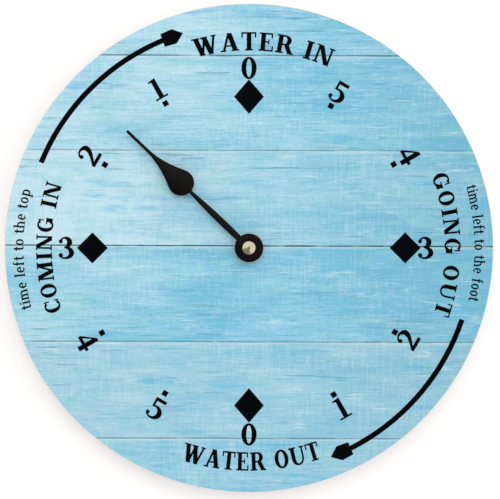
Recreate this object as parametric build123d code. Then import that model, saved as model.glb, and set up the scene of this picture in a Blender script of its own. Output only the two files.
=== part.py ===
from build123d import *
import math
import os

# A round wall tide clock. A printed board carries a battery movement behind it, and one hand in front
# of it goes round once in each tide cycle. Lengths are millimetres and angles are degrees.
# The origin is on the hand's axis, in the plane of the wall. +Z is up, and the dial faces -Y.
# A depth is a distance from the wall towards the viewer. Outlines are drawn as the viewer sees them.

# Board and print
board_diameter = 266.7
board_thickness = 6.0
board_edge_round = 0.4
print_thickness = 0.2
ink_thickness = 0.1

# Printed marks, from the edge of the print inwards. The places run clockwise from the top, each with
# a numeral outside and a diamond or a square inside.
mark_places = 12
mark_angle = 360 / mark_places
arrow_inset = 10.5
arrow_band = 2.85
arrow_head_length = 11.8
arrow_head_width = 8.3
arrow_head_back_share = 0.87
arrow_shoulder_share = 0.57
left_arrow_bearings = (-67.7, -17.1)
right_arrow_bearings = (108.6, 158.6)
numeral_insets = (34.9, 35.0, 32.4, 36.7, 32.9, 32.2, 31.3, 31.8, 30.8, 33.4, 32.3, 32.8)
mark_insets = (50.5, 43.6, 41.9, 47.8, 41.1, 40.6, 47.1, 41.4, 40.4, 47.6, 42.3, 42.0)
numeral_height = 11.8
square_side = 2.95
tall_diamond_width = 16.2
tall_diamond_height = 18.8
side_diamond_size = 16.9

# Shapes of the numerals, as shares of their height from the left end of the baseline. A bowl has its
# middle and half sizes, then its stroke's angles, and a ball its middle and radius.
zero_width_share = 0.70
zero_overshoot_share = 0.015
zero_stroke_share = 0.225
hair_share = 0.095
stem_share = 0.235
one_width_share = 0.62
one_foot_share = 0.08
one_flag_shares = ((0.06, 0.95), (0.06, 0.90), (0.21, 0.87))
two_width_share = 0.69
two_foot_share = 0.16
two_bowl_shares = (0.355, 0.755, 0.335, 0.265)
two_bowl_angles = (165, 0)
two_ball_shares = (0.115, 0.77, 0.095)
two_tail_outer_shares = ((0.20, 0.15), (0.46, 0.38), (0.69, 0.52), (0.69, 0.76))
two_tail_inner_shares = ((0.455, 0.76), (0.455, 0.52), (0.18, 0.33), (0.0, 0.11))
three_width_share = 0.716
three_top_bowl_shares = (0.335, 0.76, 0.295, 0.26)
three_top_bowl_angles = (160, -85)
three_top_ball_shares = (0.1, 0.80, 0.09)
three_low_bowl_shares = (0.34, 0.275, 0.376, 0.295)
three_low_bowl_angles = (95, -150)
three_low_ball_shares = (0.105, 0.16, 0.1)
three_waist_shares = (0.26, 0.46, 0.49, 0.575)
four_width_share = 0.75
four_stem_shares = (0.39, 0.61)
four_bar_shares = (0.245, 0.395)
four_apex_share = 0.47
four_tip_share = 0.37
four_counter_shares = ((0.39, 0.395), (0.39, 0.78), (0.14, 0.395))
five_width_share = 0.73
five_bar_shares = (0.13, 0.67, 0.84)
five_stroke_shares = (0.13, 0.235, 0.54)
five_bowl_shares = (0.34, 0.315, 0.386, 0.33)
five_bowl_angles = (125, -150)
five_ball_shares = (0.095, 0.19, 0.093)

# Movement case. Its width, height and depth come from what it holds.
case_wall = 1.6
case_back_wall = 1.5
case_corner = 4.0
cover_thickness = 1.5
divider_wall = 0.9
moulding_clearance = 0.05

# Clips that hold the front cover on the case
clip_width = 6.0
clip_thickness = 0.6
clip_reach = 7.0
clip_hook = 0.5
clip_hook_height = 1.0
clip_top_inset = 13.0
clip_bottom_inset = 9.0

# Hanging tab at the top of the case
hanger_thickness = 2.5
hanger_setback = 0.4
hanger_corner = 6.0
keyhole_radius = 4.25
keyhole_side_wall = 4.75
keyhole_root_wall = 1.75
nail_seat_radius = 1.75
nail_slot_length = 2.15
nail_seat_wall = 2.35

# Battery, an AA cell, and its contacts
cell_diameter = 14.5
cell_length = 49.3
cell_nub_diameter = 5.4
cell_nub_length = 1.2
cell_setback = 0.6
cell_edge_round = 0.7
bay_clearance = 0.35
trough_wall = 1.05
contact_thickness = 0.4
contact_width = 9.0
contact_height = 10.0
contact_clearance = 0.2
contact_strip_width = 2.5
solder_tab_length = 2.0
solder_tab_thickness = 0.3
contact_dome_height = 1.1
contact_dome_share = 0.7

# Fixing parts on the movement's axis
bush_radius = 4.0
bush_flange_radius = 5.4
bush_flange_length = 1.9
bush_flange_gap = 0.3
bush_projection = 1.0
bush_chamfer = 0.4
fixing_clearance = 0.15
rubber_washer_radius = 11.0
rubber_washer_thickness = 1.0
brass_washer_radius = 7.0
brass_washer_thickness = 0.6
nut_across_flats = 11.0
nut_thickness = 2.2

# Hand, cap nut and the tubes that carry them
hand_thickness = 0.6
hand_hub_radius = 7.75
hand_stem_root_width = 2.6
hand_stem_belly_width = 3.6
hand_stem_neck_width = 1.8
hand_bulb_radius = 7.05
hand_tip_stem_width = 1.85
hand_tip_width = 1.6
hand_tip_inset = 41.6
hand_bearing = -46.2
bulb_centre_share = 0.556
belly_share = 0.263
tip_stem_share = 0.812
shoulder_rise_share = 0.48
shoulder_half_share = 0.892
taper_handle_shares = ((1.2, 0.56), (2.25, 0.171))
hand_bush_radius = 4.6
hand_bush_sleeve_radius = 3.3
hand_bush_height = 1.6
hand_bush_rim = 0.4
hand_bush_clearance = 0.5
hour_tube_radius = 2.5
hour_tube_projection = 0.2
cap_nut_radius = 3.75
cap_nut_skirt = 1.2
cap_nut_cone = 2.4
cap_nut_tip_radius = 0.5
cap_nut_gap = 0.3
cap_nut_thread_depth = 2.0

# Gear train
pressure_angle = 20.0
backlash = 0.1
wheel_addendum_share = 0.55
wheel_dedendum_share = 1.15
pinion_addendum_share = 0.85
pinion_dedendum_share = 0.85
largest_pinion_teeth = 14
rotor_module = 0.25
train_module = 0.3
motion_module = 0.42
rotor_teeth = 12
fifth_teeth = 60
fifth_pinion_teeth = 10
seconds_teeth = 60
seconds_pinion_teeth = 8
third_teeth = 60
third_pinion_teeth = 8
centre_teeth = 64
cannon_teeth = 14
minute_teeth = 42
minute_pinion_teeth = 10
hour_teeth = 40
setting_teeth = 14
third_heading = 135.0
fifth_heading = 60.0
rotor_heading = 30.0
motion_heading = 0.0
setting_heading = -28.0
wheel_thickness = 0.8
motion_wheel_thickness = 1.0
first_wheel_gap = 0.8
wheel_gap = 0.6
motion_gap = 0.8
pinion_overlap = 0.2
arbor_radius = 0.5
pivot_radius = 0.35
pivot_depth = 0.7
minute_arbor_radius = 1.6
clutch_radius = 1.3
minute_arbor_bore = 1.4
stem_radius = 1.0
running_clearance = 0.05
end_shake = 0.2
wheel_hub_radius = 2.2
web_hole_share = 0.15
web_ring_share = 0.57
web_holes = 5

# Plate that carries the front pivots, and its posts
plate_thickness = 1.0
plate_gap = 0.9
plate_side_margin = 5.6
plate_top_margin = 3.4
plate_edge_gap = 0.7
plate_corner = 3.0
post_radius = 1.8
post_inset = 2.6
post_side_height = 5.0
spigot_radius = 0.7
spigot_head = 0.2
pivot_boss_radius = 1.6
pivot_boss_height = 1.4

# Setting knob in its pocket
knob_radius = 4.2
knob_thickness = 1.8
knob_setback = 0.5
knob_pocket_clearance = 0.5
knob_floor_gap = 0.3
knob_floor = 1.0
knob_side_wall = 1.0
knob_divider_gap = 0.1
knob_notches = 20
knob_notch_radius = 0.3

# Motor
magnet_radius = 3.0
magnet_length = 3.0
stator_gap = 0.4
stator_ring = 1.6
stator_thickness = 1.0
stator_arm_width = 3.0
stator_rise = 3.6
stator_side_gap = 0.3
coil_gap = 0.3
coil_end_gap = 0.5
coil_top_gap = 0.7
coil_radius = 3.0
coil_length = 15.6
coil_flange = 0.8
coil_flange_rise = 0.2
bobbin_wall = 0.5
core_thickness = 1.0
core_width = 1.5
core_overhang = 1.3
stator_post_radius = 1.5

# Circuit board
circuit_height = 8.5
circuit_edge_gap = 0.1
circuit_side_gap = 0.3
circuit_post_gap = 0.65
circuit_thickness = 1.0
circuit_rise = 2.5
circuit_post_radius = 1.2
circuit_post_inset = 4.0
chip_radius = 3.0
chip_height = 1.1
chip_offset = -3.5
crystal_radius = 1.05
crystal_length = 6.2
crystal_offset = 3.0

# Depths of the train, from the wall
fifth_back = case_back_wall + first_wheel_gap
fifth_front = fifth_back + wheel_thickness
seconds_back = fifth_front + wheel_gap
seconds_front = seconds_back + wheel_thickness
third_back = seconds_front + wheel_gap
third_front = third_back + wheel_thickness
centre_back = third_front + wheel_gap
centre_front = centre_back + wheel_thickness
plate_back = centre_front + plate_gap
plate_front = plate_back + plate_thickness
minute_back = plate_front + motion_gap
minute_front = minute_back + motion_wheel_thickness
hour_back = minute_front + motion_gap
hour_front = hour_back + motion_wheel_thickness
minute_arbor_back = third_front + pinion_overlap + end_shake
cannon_back = minute_back - pinion_overlap
cannon_front = minute_front + pinion_overlap

# Depths of the case. The train and the battery both have to fit in it.
train_reach = hour_front + bush_flange_gap + bush_flange_length
cell_reach = cell_setback + cell_diameter + bay_clearance + trough_wall - cover_thickness
cover_back = max(train_reach, cell_reach)
case_depth = cover_back + cover_thickness
bush_back = cover_back - bush_flange_length
boss_back = cover_back - pivot_boss_height
knob_front = knob_setback + knob_thickness
pocket_front = knob_front + knob_floor_gap
pocket_floor_front = pocket_front + knob_floor
stator_back = case_back_wall + stator_rise
stator_front = stator_back + stator_thickness
core_front = stator_front + core_thickness
magnet_back = (stator_back + stator_front - magnet_length) / 2
circuit_back = case_back_wall + circuit_rise
circuit_front = circuit_back + circuit_thickness
strip_depth = circuit_front + contact_strip_width / 2

# Depths of the board and of the hand
board_back = case_depth + rubber_washer_thickness
board_front = board_back + board_thickness
print_front = board_front + print_thickness
ink_front = print_front + ink_thickness
brass_washer_front = print_front + brass_washer_thickness
nut_front = brass_washer_front + nut_thickness
bush_front = nut_front + bush_projection
hand_bush_back = bush_front + hand_bush_clearance
hand_back = hand_bush_back + hand_bush_height
hand_front = hand_back + hand_thickness
hand_bush_front = hand_front + hand_bush_rim
hour_tube_front = hand_bush_front + hour_tube_projection
cap_nut_back = hour_tube_front + cap_nut_gap
minute_arbor_front = cap_nut_back + cap_nut_thread_depth

# Radii of the dial
board_radius = board_diameter / 2
print_radius = board_radius - board_edge_round
arrow_radius = print_radius - arrow_inset
hand_reach = print_radius - hand_tip_inset


def step(place, distance, heading):
    """Place at a distance from another, with the heading counted from +X towards +Z."""
    turn = math.radians(heading)
    return (place[0] + distance * math.cos(turn), place[1] + distance * math.sin(turn))


def on_dial(radius, bearing):
    """Place on the dial, with the bearing counted clockwise from the top."""
    turn = math.radians(bearing)
    return (radius * math.sin(turn), radius * math.cos(turn))


# Axes of the train
centre_module = train_module * (third_teeth + seconds_pinion_teeth) / (centre_teeth + third_pinion_teeth)
hour_module = motion_module * (minute_teeth + cannon_teeth) / (hour_teeth + minute_pinion_teeth)
third_distance = train_module * (third_teeth + seconds_pinion_teeth) / 2
fifth_distance = train_module * (seconds_teeth + fifth_pinion_teeth) / 2
rotor_distance = rotor_module * (fifth_teeth + rotor_teeth) / 2
motion_distance = motion_module * (minute_teeth + cannon_teeth) / 2
setting_distance = motion_module * (minute_teeth + setting_teeth) / 2
centre_axis = (0, 0)
third_axis = step(centre_axis, third_distance, third_heading)
fifth_axis = step(centre_axis, fifth_distance, fifth_heading)
rotor_axis = step(fifth_axis, rotor_distance, rotor_heading)
motion_axis = step(centre_axis, motion_distance, motion_heading)
setting_axis = step(motion_axis, setting_distance, setting_heading)

# Motor places
stator_bore = magnet_radius + stator_gap
coil_flange_radius = coil_radius + coil_flange_rise
coil_height = rotor_axis[1] + stator_bore + stator_ring + coil_gap + coil_flange_radius
coil_depth = stator_front + core_thickness / 2
bobbin_radius = math.hypot(core_width, core_thickness) / 2 + bobbin_wall
stator_leg_offset = coil_length / 2 + coil_flange + coil_end_gap + stator_arm_width / 2
stator_ends = [(rotor_axis[0] + side * stator_leg_offset, coil_height) for side in (-1, 1)]

# Inner width of the case. The battery, the motor and the knob each have to fit in it.
pocket_radius = knob_radius + knob_pocket_clearance
contact_room = contact_thickness + contact_clearance
bay_length = cell_length + cell_nub_length + contact_dome_height + 2 * contact_room
motor_side = stator_ends[1][0] + stator_arm_width / 2 + stator_side_gap + contact_thickness
knob_side = setting_axis[0] + pocket_radius + knob_side_wall - case_wall
inner_half_width = max(bay_length / 2, motor_side, knob_side)

# Heights inside the case, from the coil at the top to the battery bay at the bottom
hour_wheel_radius = hour_module * (hour_teeth / 2 + wheel_addendum_share)
knob_low = pocket_radius - setting_axis[1]
divider_top = -max(hour_wheel_radius, knob_low) - knob_divider_gap
bay_top = divider_top - divider_wall
bay_height = cell_diameter + 2 * bay_clearance
bay_bottom = bay_top - bay_height
inner_top = coil_height + coil_flange_radius + coil_top_gap + contact_thickness

# Outside of the case
case_width = 2 * (inner_half_width + case_wall)
case_top = inner_top + case_wall
case_bottom = bay_bottom - case_wall
clip_heights = (case_top - clip_top_inset, case_bottom + clip_bottom_inset)
inner_corner = case_corner - case_wall

# Keyhole and tab, above the case
hanger_width = 2 * (keyhole_radius + keyhole_side_wall)
keyhole_height = case_top + keyhole_root_wall + keyhole_radius
nail_seat_height = keyhole_height + keyhole_radius + nail_slot_length
hanger_top = nail_seat_height + nail_seat_radius + nail_seat_wall

# Battery
cell_radius = cell_diameter / 2
cell_height = bay_bottom + bay_height / 2
cell_depth = cell_setback + cell_radius
cell_nub_end = inner_half_width - contact_room
cell_back_end = cell_nub_end - cell_nub_length - cell_length

# Plate over the train, and its posts
third_wheel_radius = train_module * (third_teeth / 2 + wheel_addendum_share)
fifth_wheel_radius = rotor_module * (fifth_teeth / 2 + wheel_addendum_share)
plate_left = third_axis[0] - third_wheel_radius - plate_side_margin
plate_right = fifth_axis[0] + fifth_wheel_radius + plate_side_margin
plate_bottom = divider_top + plate_edge_gap
plate_top = rotor_axis[1] + plate_top_margin
plate_posts = [
    (plate_left + post_inset, plate_bottom + post_inset),
    (plate_left + post_inset, plate_top - post_inset),
    (plate_right - post_inset, plate_bottom + post_inset),
    (plate_right - post_inset, post_side_height),
]

# Circuit board, and its posts
circuit_left = contact_thickness + circuit_side_gap - inner_half_width
circuit_right = stator_ends[0][0] - stator_post_radius - circuit_post_gap
circuit_top = inner_top - circuit_edge_gap
circuit_bottom = circuit_top - circuit_height
circuit_middle = (circuit_bottom + circuit_top) / 2
circuit_centre = (circuit_left + circuit_right) / 2
circuit_posts = [
    (circuit_left + circuit_post_inset, circuit_middle),
    (circuit_right - circuit_post_inset, circuit_middle),
]


def facing(depth):
    """Plane at a depth from the wall, seen as the viewer sees the dial."""
    return Plane.XZ.offset(depth)


def slab(outline, back, front):
    """Solid of one outline between two depths."""
    return extrude(facing(back) * outline, amount=front - back)


def disc(radius, back, front, at=(0, 0)):
    """Round solid between two depths, on an axis along the depth."""
    return slab(Pos(at[0], at[1]) * Circle(radius), back, front)


def block(left, right, bottom, top, back, front):
    """Box between two places in width, height and depth."""
    middle = Pos((left + right) / 2, (bottom + top) / 2)
    return slab(middle * Rectangle(abs(right - left), abs(top - bottom)), back, front)


def tooth_half_angle(radius, pitch_radius, tooth_width):
    """Half of the angle that a tooth takes at a radius, from the involute of its pitch circle."""
    pressure = math.radians(pressure_angle)
    base_radius = pitch_radius * math.cos(pressure)
    roll = math.acos(min(1, base_radius / radius))
    return tooth_width / (2 * pitch_radius) + math.tan(pressure) - pressure - math.tan(roll) + roll


def gear_outline(teeth, module, turned, addendum_share, dedendum_share):
    """Toothed outline about the origin, with one tooth's middle at the angle turned."""
    pitch_radius = module * teeth / 2
    tooth_width = (math.pi * module - backlash) / 2
    radii = (pitch_radius - dedendum_share * module, pitch_radius, pitch_radius + addendum_share * module)
    halves = [tooth_half_angle(radius, pitch_radius, tooth_width) for radius in radii]
    rising = [(radius, -half) for radius, half in zip(radii, halves)]
    falling = [(radius, half) for radius, half in zip(reversed(radii), reversed(halves))]
    points = []
    for tooth in range(teeth):
        middle = math.radians(turned) + 2 * math.pi * tooth / teeth
        for radius, offset in rising + falling:
            points.append((radius * math.cos(middle + offset), radius * math.sin(middle + offset)))
    return make_face(Polyline(*points, close=True))


def toothed(at, teeth, module, turned, back, front):
    """Toothed disc on an axis. A pinion has the tall teeth, and a wheel the short ones."""
    is_pinion = teeth <= largest_pinion_teeth
    addendum = pinion_addendum_share if is_pinion else wheel_addendum_share
    dedendum = pinion_dedendum_share if is_pinion else wheel_dedendum_share
    outline = gear_outline(teeth, module, turned, addendum, dedendum)
    return slab(Pos(at[0], at[1]) * outline, back, front)


def wheel(at, teeth, module, turned, back, front):
    """Toothed disc with round holes in its web."""
    pitch_radius = module * teeth / 2
    holes = PolarLocations(web_ring_share * pitch_radius, web_holes)
    body = toothed(at, teeth, module, turned, back, front)
    for hole in holes:
        body -= slab(Pos(at[0], at[1]) * hole * Circle(web_hole_share * pitch_radius), back, front)
    return body


def meshed(teeth, turned, mate_teeth, heading):
    """Angle to turn a mate by, so that its teeth fall in the gaps of a gear turned by an angle."""
    return heading + 180 + (heading - turned) * teeth / mate_teeth + 180 / mate_teeth


# Angles at rest of the wheels that mesh with two others
minute_turn = meshed(cannon_teeth, motion_heading, minute_teeth, motion_heading)
hour_turn = meshed(minute_pinion_teeth, motion_heading + 180, hour_teeth, motion_heading + 180)


def arbor(at):
    """Arbor and pivots of a train wheel, from the case's back wall to the train plate."""
    body = disc(arbor_radius, case_back_wall + end_shake, plate_back - end_shake, at)
    return body + disc(pivot_radius, case_back_wall - pivot_depth, plate_front - end_shake, at)


def pivot_hole(at, back, front):
    """Hole that a pivot runs in."""
    return disc(pivot_radius + running_clearance, back, front, at)


# Board and print


def centre_hole(back, front):
    """Hole through the board and the print for the fixing bush."""
    return disc(bush_radius + fixing_clearance, back, front)


def dial_board():
    board = disc(board_radius, board_back, board_front)
    board = fillet(board.edges(), board_edge_round)
    return board - centre_hole(board_back, board_front)


def printed_face():
    return disc(print_radius, board_front, print_front) - centre_hole(board_front, print_front)


def printed(outline):
    """Ink in one outline on the printed face."""
    return slab(outline, print_front, ink_front)


def placed(outline, radius, bearing, lean):
    """Outline moved to its place on the dial and turned clockwise by its lean."""
    x, y = on_dial(radius, bearing)
    return Pos(x, y) * Rot(0, 0, -lean) * outline


def polygon(points):
    return make_face(Polyline(*points, close=True))


def share_box(left, right, bottom, top, height):
    """Rectangle between shares of a numeral's height."""
    middle = Pos((left + right) / 2 * height, (bottom + top) / 2 * height)
    return middle * Rectangle((right - left) * height, (top - bottom) * height)


def ball(shares, height):
    """Round end of a numeral's stroke."""
    x, y, radius = shares
    return Pos(x * height, y * height) * Circle(radius * height)


def bowl(shares, angles, height):
    """Curved stroke round an oval, heavy on its right, clockwise from one angle to another."""
    x, y, half_width, half_height = shares
    start, end = angles
    hollow_x = x + (hair_share - stem_share) / 2
    hollow_half_width = half_width - (hair_share + stem_share) / 2
    hollow_half_height = half_height - hair_share
    outer = Pos(x * height, y * height) * Ellipse(half_width * height, half_height * height)
    hollow = Ellipse(hollow_half_width * height, hollow_half_height * height)
    gap = [(x * height, y * height)]
    for part in range(5):
        gap.append(step(gap[0], height, end - (end + 360 - start) * part / 4))
    return outer - Pos(hollow_x * height, y * height) * hollow - polygon(gap)


def zero(height):
    tall = height * (1 + 2 * zero_overshoot_share)
    wide = height * zero_width_share
    inner_wide = wide - 2 * zero_stroke_share * height
    inner_tall = tall - 2 * hair_share * height
    middle = Pos(wide / 2, height / 2)
    return middle * (Ellipse(wide / 2, tall / 2) - Ellipse(inner_wide / 2, inner_tall / 2))


def one(height):
    left = (one_width_share - stem_share) / 2
    right = left + stem_share
    flag = [(x * height, y * height) for x, y in one_flag_shares]
    stem = polygon([(right * height, 0), (right * height, height), *flag, (left * height, 0)])
    return stem + share_box(0, one_width_share, 0, one_foot_share, height)


def two(height):
    outer = [(x * height, y * height) for x, y in two_tail_outer_shares]
    inner = [(x * height, y * height) for x, y in two_tail_inner_shares]
    edges = [Bezier(*outer), Line(outer[-1], inner[0]), Bezier(*inner), Line(inner[-1], outer[0])]
    tail = make_face(Curve() + edges)
    foot = share_box(0, two_width_share, 0, two_foot_share, height)
    return bowl(two_bowl_shares, two_bowl_angles, height) + tail + foot + ball(two_ball_shares, height)


def three(height):
    top = bowl(three_top_bowl_shares, three_top_bowl_angles, height) + ball(three_top_ball_shares, height)
    low = bowl(three_low_bowl_shares, three_low_bowl_angles, height) + ball(three_low_ball_shares, height)
    return top + low + share_box(*three_waist_shares, height)


def four(height):
    left, right = four_stem_shares
    low, high = four_bar_shares
    outline = [
        (four_apex_share, 1),
        (right, 1),
        (right, high),
        (four_width_share, high),
        (four_width_share, low),
        (right, low),
        (right, 0),
        (left, 0),
        (left, low),
        (0, low),
        (0, four_tip_share),
    ]
    counter = polygon([(x * height, y * height) for x, y in four_counter_shares])
    return polygon([(x * height, y * height) for x, y in outline]) - counter


def five(height):
    bar_left, bar_right, bar_bottom = five_bar_shares
    stroke_left, stroke_right, stroke_bottom = five_stroke_shares
    bar = share_box(bar_left, bar_right, bar_bottom, 1, height)
    stroke = share_box(stroke_left, stroke_right, stroke_bottom, 1, height)
    curve = bowl(five_bowl_shares, five_bowl_angles, height)
    return bar + stroke + curve + ball(five_ball_shares, height)


numerals = (
    (zero, zero_width_share),
    (one, one_width_share),
    (two, two_width_share),
    (three, three_width_share),
    (four, four_width_share),
    (five, five_width_share),
)


def dial_numerals():
    """Numerals of the hours to the next high or low tide. Each reads upright or nearly so."""
    marks = []
    for place in range(mark_places):
        bearing = mark_angle * place
        draw, width_share = numerals[(6 - place) % 6]
        lean = 0 if place % 3 == 0 else (bearing + 90) % 180 - 90
        centred = Pos(-width_share * numeral_height / 2, -numeral_height / 2) * draw(numeral_height)
        marks.append(printed(placed(centred, print_radius - numeral_insets[place], bearing, lean)))
    return Compound(children=marks)


def dial_squares():
    """Small squares at the eight places between the quarters, each turned to face the middle."""
    square = Rectangle(square_side, square_side)
    marks = []
    for place in range(mark_places):
        if place % 3 != 0:
            bearing = mark_angle * place
            marks.append(printed(placed(square, print_radius - mark_insets[place], bearing, bearing)))
    return Compound(children=marks)


def dial_diamonds():
    """Long diamonds at the top and bottom, and even ones at the sides."""
    marks = []
    for place in (0, 3, 6, 9):
        upright = place % 6 == 0
        width = tall_diamond_width if upright else side_diamond_size
        height = tall_diamond_height if upright else side_diamond_size
        diamond = polygon([(0, height / 2), (width / 2, 0), (0, -height / 2), (-width / 2, 0)])
        marks.append(printed(placed(diamond, print_radius - mark_insets[place], mark_angle * place, 0)))
    return Compound(children=marks)


def tide_arrow(tail, tip):
    """Curved arrow that points clockwise from its tail's bearing to its tip's."""
    head = math.degrees(arrow_head_length / arrow_radius)
    outer = arrow_radius + arrow_band / 2
    inner = arrow_radius - arrow_band / 2
    neck = tip - head
    middle = (tail + neck) / 2
    edges = [
        ThreePointArc(on_dial(outer, tail), on_dial(outer, middle), on_dial(outer, neck)),
        Line(on_dial(outer, neck), on_dial(inner, neck)),
        ThreePointArc(on_dial(inner, neck), on_dial(inner, middle), on_dial(inner, tail)),
        Line(on_dial(inner, tail), on_dial(outer, tail)),
    ]
    half_back = arrow_head_back_share * arrow_head_width / 2
    half_shoulder = arrow_head_width / 2
    shoulder = arrow_shoulder_share * arrow_head_length
    point = polygon(
        [
            (0, -half_back),
            (shoulder, -half_shoulder),
            (arrow_head_length, 0),
            (shoulder, half_shoulder),
            (0, half_back),
        ]
    )
    return make_face(Curve() + edges) + placed(point, arrow_radius, neck, neck + head / 2)


def tide_arrows():
    arrows = [tide_arrow(*left_arrow_bearings), tide_arrow(*right_arrow_bearings)]
    return Compound(children=[printed(arrow) for arrow in arrows])


# Movement case and cover


def clip_places():
    """Side and height of each clip that holds the cover."""
    return [(side, height) for side in (-1, 1) for height in clip_heights]


def clip(side, height, spare):
    """Clip on the case's side, or with a spare clearance the recess that takes it."""
    outside = side * case_width / 2
    inside = outside - side * (clip_thickness + spare)
    catch = inside - side * clip_hook
    bottom = height - clip_width / 2 - spare
    top = height + clip_width / 2 + spare
    end = cover_back - clip_reach - spare
    tongue = block(outside, inside, bottom, top, end, cover_back)
    return tongue + block(inside, catch, bottom, top, end, end + clip_hook_height + 2 * spare)


def hanging_tab():
    """Tab on the case's top, with the keyhole that hangs the clock on a nail or screw head."""
    corner_room = case_top - hanger_corner
    outline = Pos(0, (hanger_top + corner_room) / 2) * RectangleRounded(
        hanger_width, hanger_top - corner_room, hanger_corner
    )
    outline -= Pos(0, corner_room) * Rectangle(hanger_width, 2 * hanger_corner)
    slot = Pos(0, (keyhole_height + nail_seat_height) / 2) * Rectangle(
        2 * nail_seat_radius, nail_seat_height - keyhole_height
    )
    hole = Pos(0, keyhole_height) * Circle(keyhole_radius)
    seat = Pos(0, nail_seat_height) * Circle(nail_seat_radius)
    return slab(outline - hole - slot - seat, hanger_setback, hanger_setback + hanger_thickness)


def post(at, radius, seat, head):
    """Post on the case's back wall with a spigot through what it carries."""
    return disc(radius, case_back_wall, seat, at) + disc(spigot_radius, seat, head, at)


def half_rounded(width, low, high, radius, square_end):
    """Rectangle with two round corners, and square ones at its square end."""
    outline = Pos(0, (low + high) / 2) * RectangleRounded(width, high - low, radius)
    edge = low + radius if square_end == low else high - radius
    return outline + Pos(0, (square_end + edge) / 2) * Rectangle(width, radius)


def case_outline():
    """Outside of the case and of its cover."""
    middle = Pos(0, (case_top + case_bottom) / 2)
    return middle * RectangleRounded(case_width, case_top - case_bottom, case_corner)


def chamber_outline(inset):
    """Space for the train and the motor, drawn in from its walls by an inset."""
    width = 2 * (inner_half_width - inset)
    low = divider_top + inset
    return half_rounded(width, low, inner_top - inset, inner_corner - inset, low)


def movement_case():
    outside = slab(case_outline(), 0, cover_back)
    body = outside - slab(chamber_outline(0), case_back_wall, cover_back)
    body += disc(pocket_radius + knob_floor, case_back_wall, pocket_floor_front, setting_axis) & outside
    bay = half_rounded(2 * inner_half_width, bay_bottom, bay_top, inner_corner, bay_top)
    body -= slab(bay, 0, cover_back)
    body -= disc(pocket_radius, 0, pocket_front, setting_axis)
    body -= disc(stem_radius + running_clearance, pocket_front, pocket_floor_front, setting_axis)
    for place in plate_posts:
        body += post(place, post_radius, plate_back, plate_front + spigot_head)
    for place in circuit_posts:
        body += post(place, circuit_post_radius, circuit_back, circuit_front + spigot_head)
    for place in stator_ends:
        body += post(place, stator_post_radius, stator_back, core_front + spigot_head)
    for place in (centre_axis, third_axis, fifth_axis, rotor_axis):
        body -= pivot_hole(place, case_back_wall - pivot_depth - end_shake, case_back_wall)
    strip_room = contact_thickness + moulding_clearance
    strip_half = contact_strip_width / 2 + moulding_clearance
    slot_back = strip_depth - strip_half
    slot_front = strip_depth + strip_half
    for side in (-1, 1):
        edge = side * inner_half_width
        body -= block(edge, edge - side * strip_room, bay_top, divider_top, slot_back, slot_front)
    for side, height in clip_places():
        body -= clip(side, height, moulding_clearance)
    return body


def front_cover():
    body = slab(case_outline(), cover_back, case_depth)
    for place in (motion_axis, setting_axis):
        body += disc(pivot_boss_radius, boss_back, cover_back, place)
        body -= pivot_hole(place, boss_back, cover_back + end_shake)
    trough = Rot(0, 90, 0) * Cylinder(cell_radius + bay_clearance, 2 * inner_half_width)
    body -= Pos(0, -cell_depth, cell_height) * trough
    body -= disc(bush_radius, cover_back, case_depth)
    for side, height in clip_places():
        body += clip(side, height, 0)
    return body


def threaded_bush():
    """Fixing bush, seated by its flange inside the cover. Its thread is a plain cylinder."""
    barrel = disc(bush_radius, cover_back, bush_front)
    barrel = chamfer(barrel.edges().group_by(Axis.Y)[0], bush_chamfer)
    body = disc(bush_flange_radius, bush_back, cover_back) + barrel
    return body - disc(hour_tube_radius + running_clearance, bush_back, bush_front)


def rubber_washer():
    return disc(rubber_washer_radius, case_depth, board_back) - centre_hole(case_depth, board_back)


def brass_washer():
    body = disc(brass_washer_radius, print_front, brass_washer_front)
    return body - centre_hole(print_front, brass_washer_front)


def hex_nut():
    hexagon = RegularPolygon(nut_across_flats / 2, 6, major_radius=False)
    return slab(hexagon, brass_washer_front, nut_front) - disc(bush_radius, brass_washer_front, nut_front)


# Hand and what carries it


def hand_outline():
    """Hand pointing up: round hub, slim stem, spade bulb and fine tip."""
    bulb = bulb_centre_share * hand_reach
    belly = belly_share * hand_reach
    neck = bulb - hand_bulb_radius
    half_neck = hand_stem_neck_width / 2
    half_root = hand_stem_root_width / 2
    half_belly = hand_stem_belly_width / 2
    stem = make_face(
        Curve()
        + [
            Line((-half_root, 0), (half_root, 0)),
            ThreePointArc((half_root, 0), (half_belly, belly), (half_neck, neck)),
            Line((half_neck, neck), (half_neck, bulb)),
            Line((half_neck, bulb), (-half_neck, bulb)),
            Line((-half_neck, bulb), (-half_neck, neck)),
            ThreePointArc((-half_neck, neck), (-half_belly, belly), (-half_root, 0)),
        ]
    )
    shoulder = (shoulder_half_share * hand_bulb_radius, bulb + shoulder_rise_share * hand_bulb_radius)
    taper = [shoulder]
    for rise, half in taper_handle_shares:
        taper.append((half * hand_bulb_radius, bulb + rise * hand_bulb_radius))
    taper.append((hand_tip_stem_width / 2, tip_stem_share * hand_reach))
    tip_corner = (hand_tip_width / 2, hand_reach - hand_tip_width / 2)
    left = [(-x, y) for x, y in taper]
    left_corner = (-tip_corner[0], tip_corner[1])
    blade = make_face(
        Curve()
        + [
            Line((0, bulb), shoulder),
            Bezier(*taper),
            Line(taper[-1], tip_corner),
            ThreePointArc(tip_corner, (0, hand_reach), left_corner),
            Line(left_corner, left[-1]),
            Bezier(*reversed(left)),
            Line(left[0], (0, bulb)),
        ]
    )
    return Circle(hand_hub_radius) + stem + Pos(0, bulb) * Circle(hand_bulb_radius) + blade


def tide_hand():
    turned_outline = Rot(0, 0, -hand_bearing) * hand_outline()
    sleeve = disc(hand_bush_sleeve_radius, hand_back, hand_front)
    return slab(turned_outline, hand_back, hand_front) - sleeve


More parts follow.
